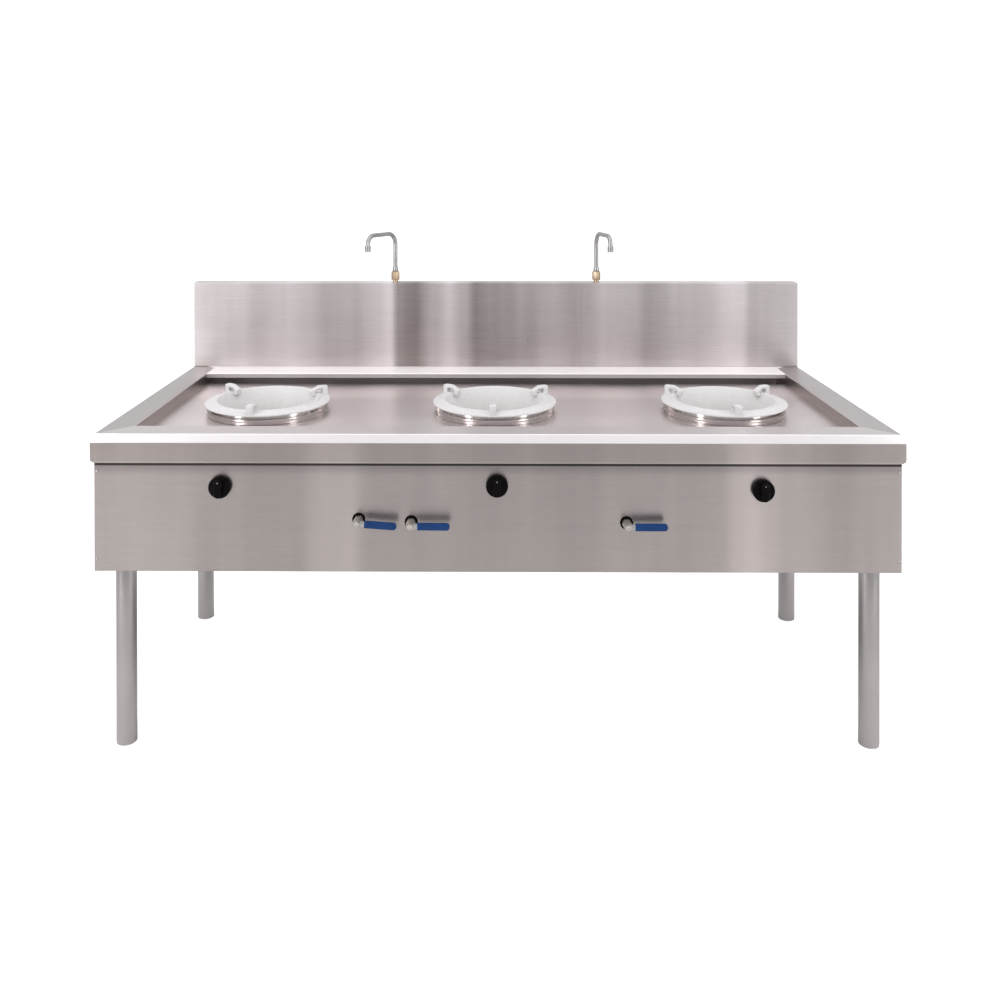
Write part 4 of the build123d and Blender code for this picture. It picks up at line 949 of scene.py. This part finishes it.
# %% [markdown]
# ## Water levers
# Each ball valve is turned by a flat steel lever held by a nut, its handle dipped in blue vinyl.
# They could be made where they hang. Made lying along +X from the valve's centre instead, one set
# of sizes does for all three, each dropped by its own angle. The sleeve starts as a block: its
# outer corners are rounded far, its other edges only a little, as a dipped coat is.

# %% Levers, sleeves and nuts
eye_half = 1.25  # half the lever's thickness, in mm
eye_section = ((0, -eye_half), (9.5, -eye_half), (9.5, eye_half), (0, eye_half))
lever_length, lever_half_width = 92, 7
sleeve_start, sleeve_end = 17, 96
lever_droops = {"left": 4.0, "rinse": 0.5, "right": 0.0}  # in degrees


def lever_plate():
    """The flat lever with its round eye, its thickness along Y."""
    eye = placed(turned(eye_section, steps=40, closed=False), (0, 0, 0), facing)
    bar = block((0, -1.2, -lever_half_width), (lever_length, 1.2, lever_half_width))
    return joined([eye, rounded(bar, 0.4, 2)])


def dipped_sleeve():
    """The vinyl coat over the lever's end."""
    form = block((sleeve_start, -3.75, -8.7), (sleeve_end, 3.75, 8.7))
    tips = [
        e for e in form.edges
        if all(v.co.x > lever_length * mm for v in e.verts) and e.verts[0].co.z == e.verts[1].co.z
    ]
    rounded(form, 8.0, 8, tips)
    return rounded(form, 1.7, 4)


for side, droop in lever_droops.items():
    lever, stem = middle(f"valve_lever_{side}"), middle(f"valve_stem_{side}")
    hub = Vector((stem.x, lever.y, stem.z))
    hang = Matrix.Rotation(math.radians(droop), 4, "Y")
    show(f"lever_{side}_plate", placed(lever_plate(), hub, hang), f"valve_lever_{side}")
    show(f"lever_{side}_sleeve", placed(dipped_sleeve(), hub, hang), f"lever_sleeve_{side}")
    nut = placed(hexagon(across=13, height=5), (0, -eye_half * mm, 0), facing)
    reach = (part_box(f"valve_stem_{side}")[1].y - hub.y) / mm  # back into the valve
    pin_section = ((0, -reach), (4, -reach), (4, 6.9), (3.2, 7.7), (0, 7.75))
    pin = placed(turned(pin_section, steps=32, closed=False), (0, 0, 0), facing)
    show(
        f"lever_{side}_nut", placed(joined([nut, pin]), hub, hang), f"valve_stem_{side}",
        material=finishes["valve_body"],
    )
    print("lever", side, "hub", tuple(round(c, 4) for c in hub))

# %% [markdown]
# ## Dark rings in the valve holes
# Each valve comes through a hole in the front panel that is wider than its gland. A black ring
# fills the gap, as painted shade for the dark inside of the hole. It could be a torus, but here it
# is a turned section with a flat face and a groove for the sheet.

# %% Black rings in the valve holes, as painted shade
hole_shade_section = (
    (10.4, -2.4), (16.3, -2.4), (16.3, 0.3), (15.2, 0.9), (12.0, 0.6), (10.4, -0.4)
)
panel_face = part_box("front_panel")[0].y
hole_shade_rings = []
for side in lever_droops:
    stem = middle(f"valve_stem_{side}")
    dark_ring = turned(hole_shade_section, rounding=0.2, steps=48)
    hole_shade_rings.append(placed(dark_ring, (stem.x, panel_face, stem.z), facing))
# Painted shade: black rings where the valve holes show dark
hole_shade = show(
    "valve_hole_shades", joined(hole_shade_rings), "ball_valve_bodies", material=finishes["knob_plastic"]
)
print("grommets:", len(hole_shade_rings))

# %% [markdown]
# ## Bent tubes
# A spout is one tube bent twice. A curve with a round bevel would do for most of it. Here the tube
# is pushed along its straight runs and spun round its bends, as a tube bender does, which keeps
# the circle true in the bends and needs no curve to be turned into a mesh.


# %% Push and bend a tube
def hollow_end(form, edges, inward, wall):
    """Opens a tube's end: a rim as wide as the wall, and the bore going inward from it."""
    cap = bmesh.ops.contextual_create(form, geom=edges)["faces"]
    bmesh.ops.inset_region(form, faces=cap, thickness=wall * mm)
    deep = grown_verts(bmesh.ops.extrude_face_region(form, geom=cap))
    bmesh.ops.delete(form, geom=cap, context="FACES")
    bmesh.ops.translate(form, verts=deep, vec=inward)


def tube(points, radius, bends, sides=28, wall=1.2):
    """A round tube through points, in metres, with a bend radius in mm at each corner."""
    points = [Vector(p) for p in points]
    ways = [(b - a).normalized() for a, b in zip(points, points[1:])]
    form = bmesh.new()
    bmesh.ops.create_circle(form, radius=radius * mm, segments=sides)
    upright = Vector((0, 0, 1)).rotation_difference(ways[0]).to_matrix().to_4x4()
    placed(form, points[0], upright)
    loop = form.edges[:]
    start_loop = loop
    at = points[0]
    for i, way in enumerate(ways):
        bent = i < len(ways) - 1
        angle = way.angle(ways[i + 1]) if bent else 0
        cut = bends[i] * mm * math.tan(angle / 2) if bent else 0
        stop = points[i + 1] - way * cut
        grown = bmesh.ops.extrude_edge_only(form, edges=loop)
        ends = grown_verts(grown)
        bmesh.ops.translate(form, verts=ends, vec=stop - at)
        loop = [e for e in grown["geom"] if isinstance(e, bmesh.types.BMEdge)
                and all(v in ends for v in e.verts)]
        at = stop
        if bent:
            axis = way.cross(ways[i + 1]).normalized()
            pivot = at + axis.cross(way) * bends[i] * mm
            swept = bmesh.ops.spin(
                form, geom=loop + ends, cent=pivot, axis=axis, angle=angle, steps=10
            )
            loop = [e for e in swept["geom_last"] if isinstance(e, bmesh.types.BMEdge)]
            at = points[i + 1] + ways[i + 1] * cut
    for edges, inward in ((start_loop, ways[0]), (loop, -ways[-1])):
        hollow_end(form, edges, inward * radius * 2 * mm, wall)
    bmesh.ops.remove_doubles(form, verts=form.verts, dist=1e-6)
    bmesh.ops.recalc_face_normals(form, faces=form.faces)
    return form


test_tube = tube(((0, 0, 0), (0, 0, 0.1), (0.1, 0, 0.1)), radius=5, bends=(20,))
print("tube test:", len(test_tube.faces), "faces")
test_tube.free()

# %% [markdown]
# ## Spouts
# Two chromed spouts swing over the worktop. Each tube ends in a wider outlet with an aerator, and
# stands in a ferrule. These could be cut out of one solid with the tube, but the small turned
# parts overlap it here, as they are pushed over the real one.

# %% Spouts
splash_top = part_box("backsplash")[1].z
riser_line = 403.875 * mm  # how far back the risers stand
spout_places = {"left": -0.33, "right": 0.335}
spout_turns = {"left": -30.0, "right": 11.0}  # in degrees from straight ahead
foot_height, head_height, spout_reach, spout_drop = 15, 161, 150, 42  # in mm
ferrule_section = ((6.9, 35), (9.5, 35), (9.5, 42), (9.1, 43.2), (7.6, 50), (6.9, 50))
outlet_section = (
    (6, -8), (8.6, -8), (9.5, -7), (9.5, -2), (9.1, -1.6), (9.1, -0.8), (9.5, -0.4),
    (9.5, 9.6), (8.6, 11), (6.9, 11), (6.9, -4), (6, -4),
)
for side, x in spout_places.items():
    turn = math.radians(spout_turns[side])
    out = Vector((math.sin(turn), -math.cos(turn), 0))
    foot = Vector((x, riser_line, splash_top + foot_height * mm))
    head = Vector((x, riser_line, splash_top + head_height * mm))
    bow = head + out * spout_reach * mm
    tip = bow - Vector((0, 0, spout_drop * mm))
    pipe = tube((foot, head, bow, tip), radius=7, bends=(38, 30))
    ferrule = turned(ferrule_section, rounding=0.3, steps=40)
    placed(ferrule, (x, foot.y, splash_top))
    outlet = placed(turned(outlet_section, rounding=0.2, steps=40), tip)
    show(f"spout_{side}_tube", joined([pipe, ferrule, outlet]), f"spout_{side}")

# %% [markdown]
# ## Unions
# A brass union holds each spout to the backsplash and stays still while the spout swings. It could
# be one hexagon, but under the nut a nipple shows, and above it a round collar, so it is three
# simple parts in one piece.

# %% Brass unions
nipple_section = ((5, -21), (8.5, -21), (8.5, 7.2), (5, 7.2))
shoulder_section = ((5, 6.5), (11.6, 6.5), (12.2, 7.4), (12.2, 34), (11, 35), (5, 35))
unions = []
for x in spout_places.values():
    nipple = turned(nipple_section, rounding=0.2, steps=36)
    shoulder = turned(shoulder_section, rounding=0.2, steps=36)
    nut = placed(hexagon(across=26, height=27, corner=0.9), (0, 0, 7.2 * mm))
    for part in (nipple, shoulder, nut):
        unions.append(placed(part, (x, riser_line, splash_top)))
show("spout_union_nuts", joined(unions), "spout_unions")
print("parts in the unions:", len(unions))

# %% [markdown]
# ## Panel screws
# Eight small dome-headed screws hold the panels to the sides. A half sphere would do for the
# head, but its drive hole shows from near by, so the section has the hole in it and is turned
# whole.

# %% Screws
screw_section = (
    (0, 0), (3.4, 0), (3.3, 0.7), (2.8, 1.3), (2.0, 1.7), (1.3, 1.8), (1.2, 0.9), (0, 0.9)
)
screw_columns, screw_rows = (-0.985, 0.985), (0.493, 0.712)
screws = []
for y, way in ((panel_face, 1), (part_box("rear_panel")[1].y, -1)):
    outwards = Matrix.Rotation(math.radians(90 * way), 4, "X")
    for x in screw_columns:
        for z in screw_rows:
            head = turned(screw_section, steps=24, closed=False)
            screws.append(placed(head, (x, y, z), outwards))
show("screw_heads", joined(screws), "panel_screws")
print("screws:", len(screws))

# %% [markdown]
# ## Smooth copies
# The pipes, valves, burners and fire chambers have the right shape in the CAD, but their round
# faces are flat triangles that share no edges. They could all be turned anew like the rings. A
# copy whose doubles are merged costs less and can be shaded smooth, with sharp edges kept where
# two faces meet at an angle, and it then stands for the node.

# %% Copy, merge and smooth
copied = (
    "leg_sockets", "rinse_pipe", "drain_outlet", "fire_chambers", "chamber_linings",
    "burner_heads", "gas_injectors", "gas_manifold", "gas_valves", "gas_feed_tubes",
    "water_manifold", "ball_valve_bodies", "water_risers", "gas_stem_left",
    "gas_stem_centre", "gas_stem_right",
)
for name in copied:
    form = bmesh.new()
    form.from_mesh(nodes[name].data)
    bmesh.ops.remove_doubles(form, verts=form.verts, dist=2e-6)
    show(name + "_smooth", form, name, sharp=28)
print("smooth copies:", len(copied))
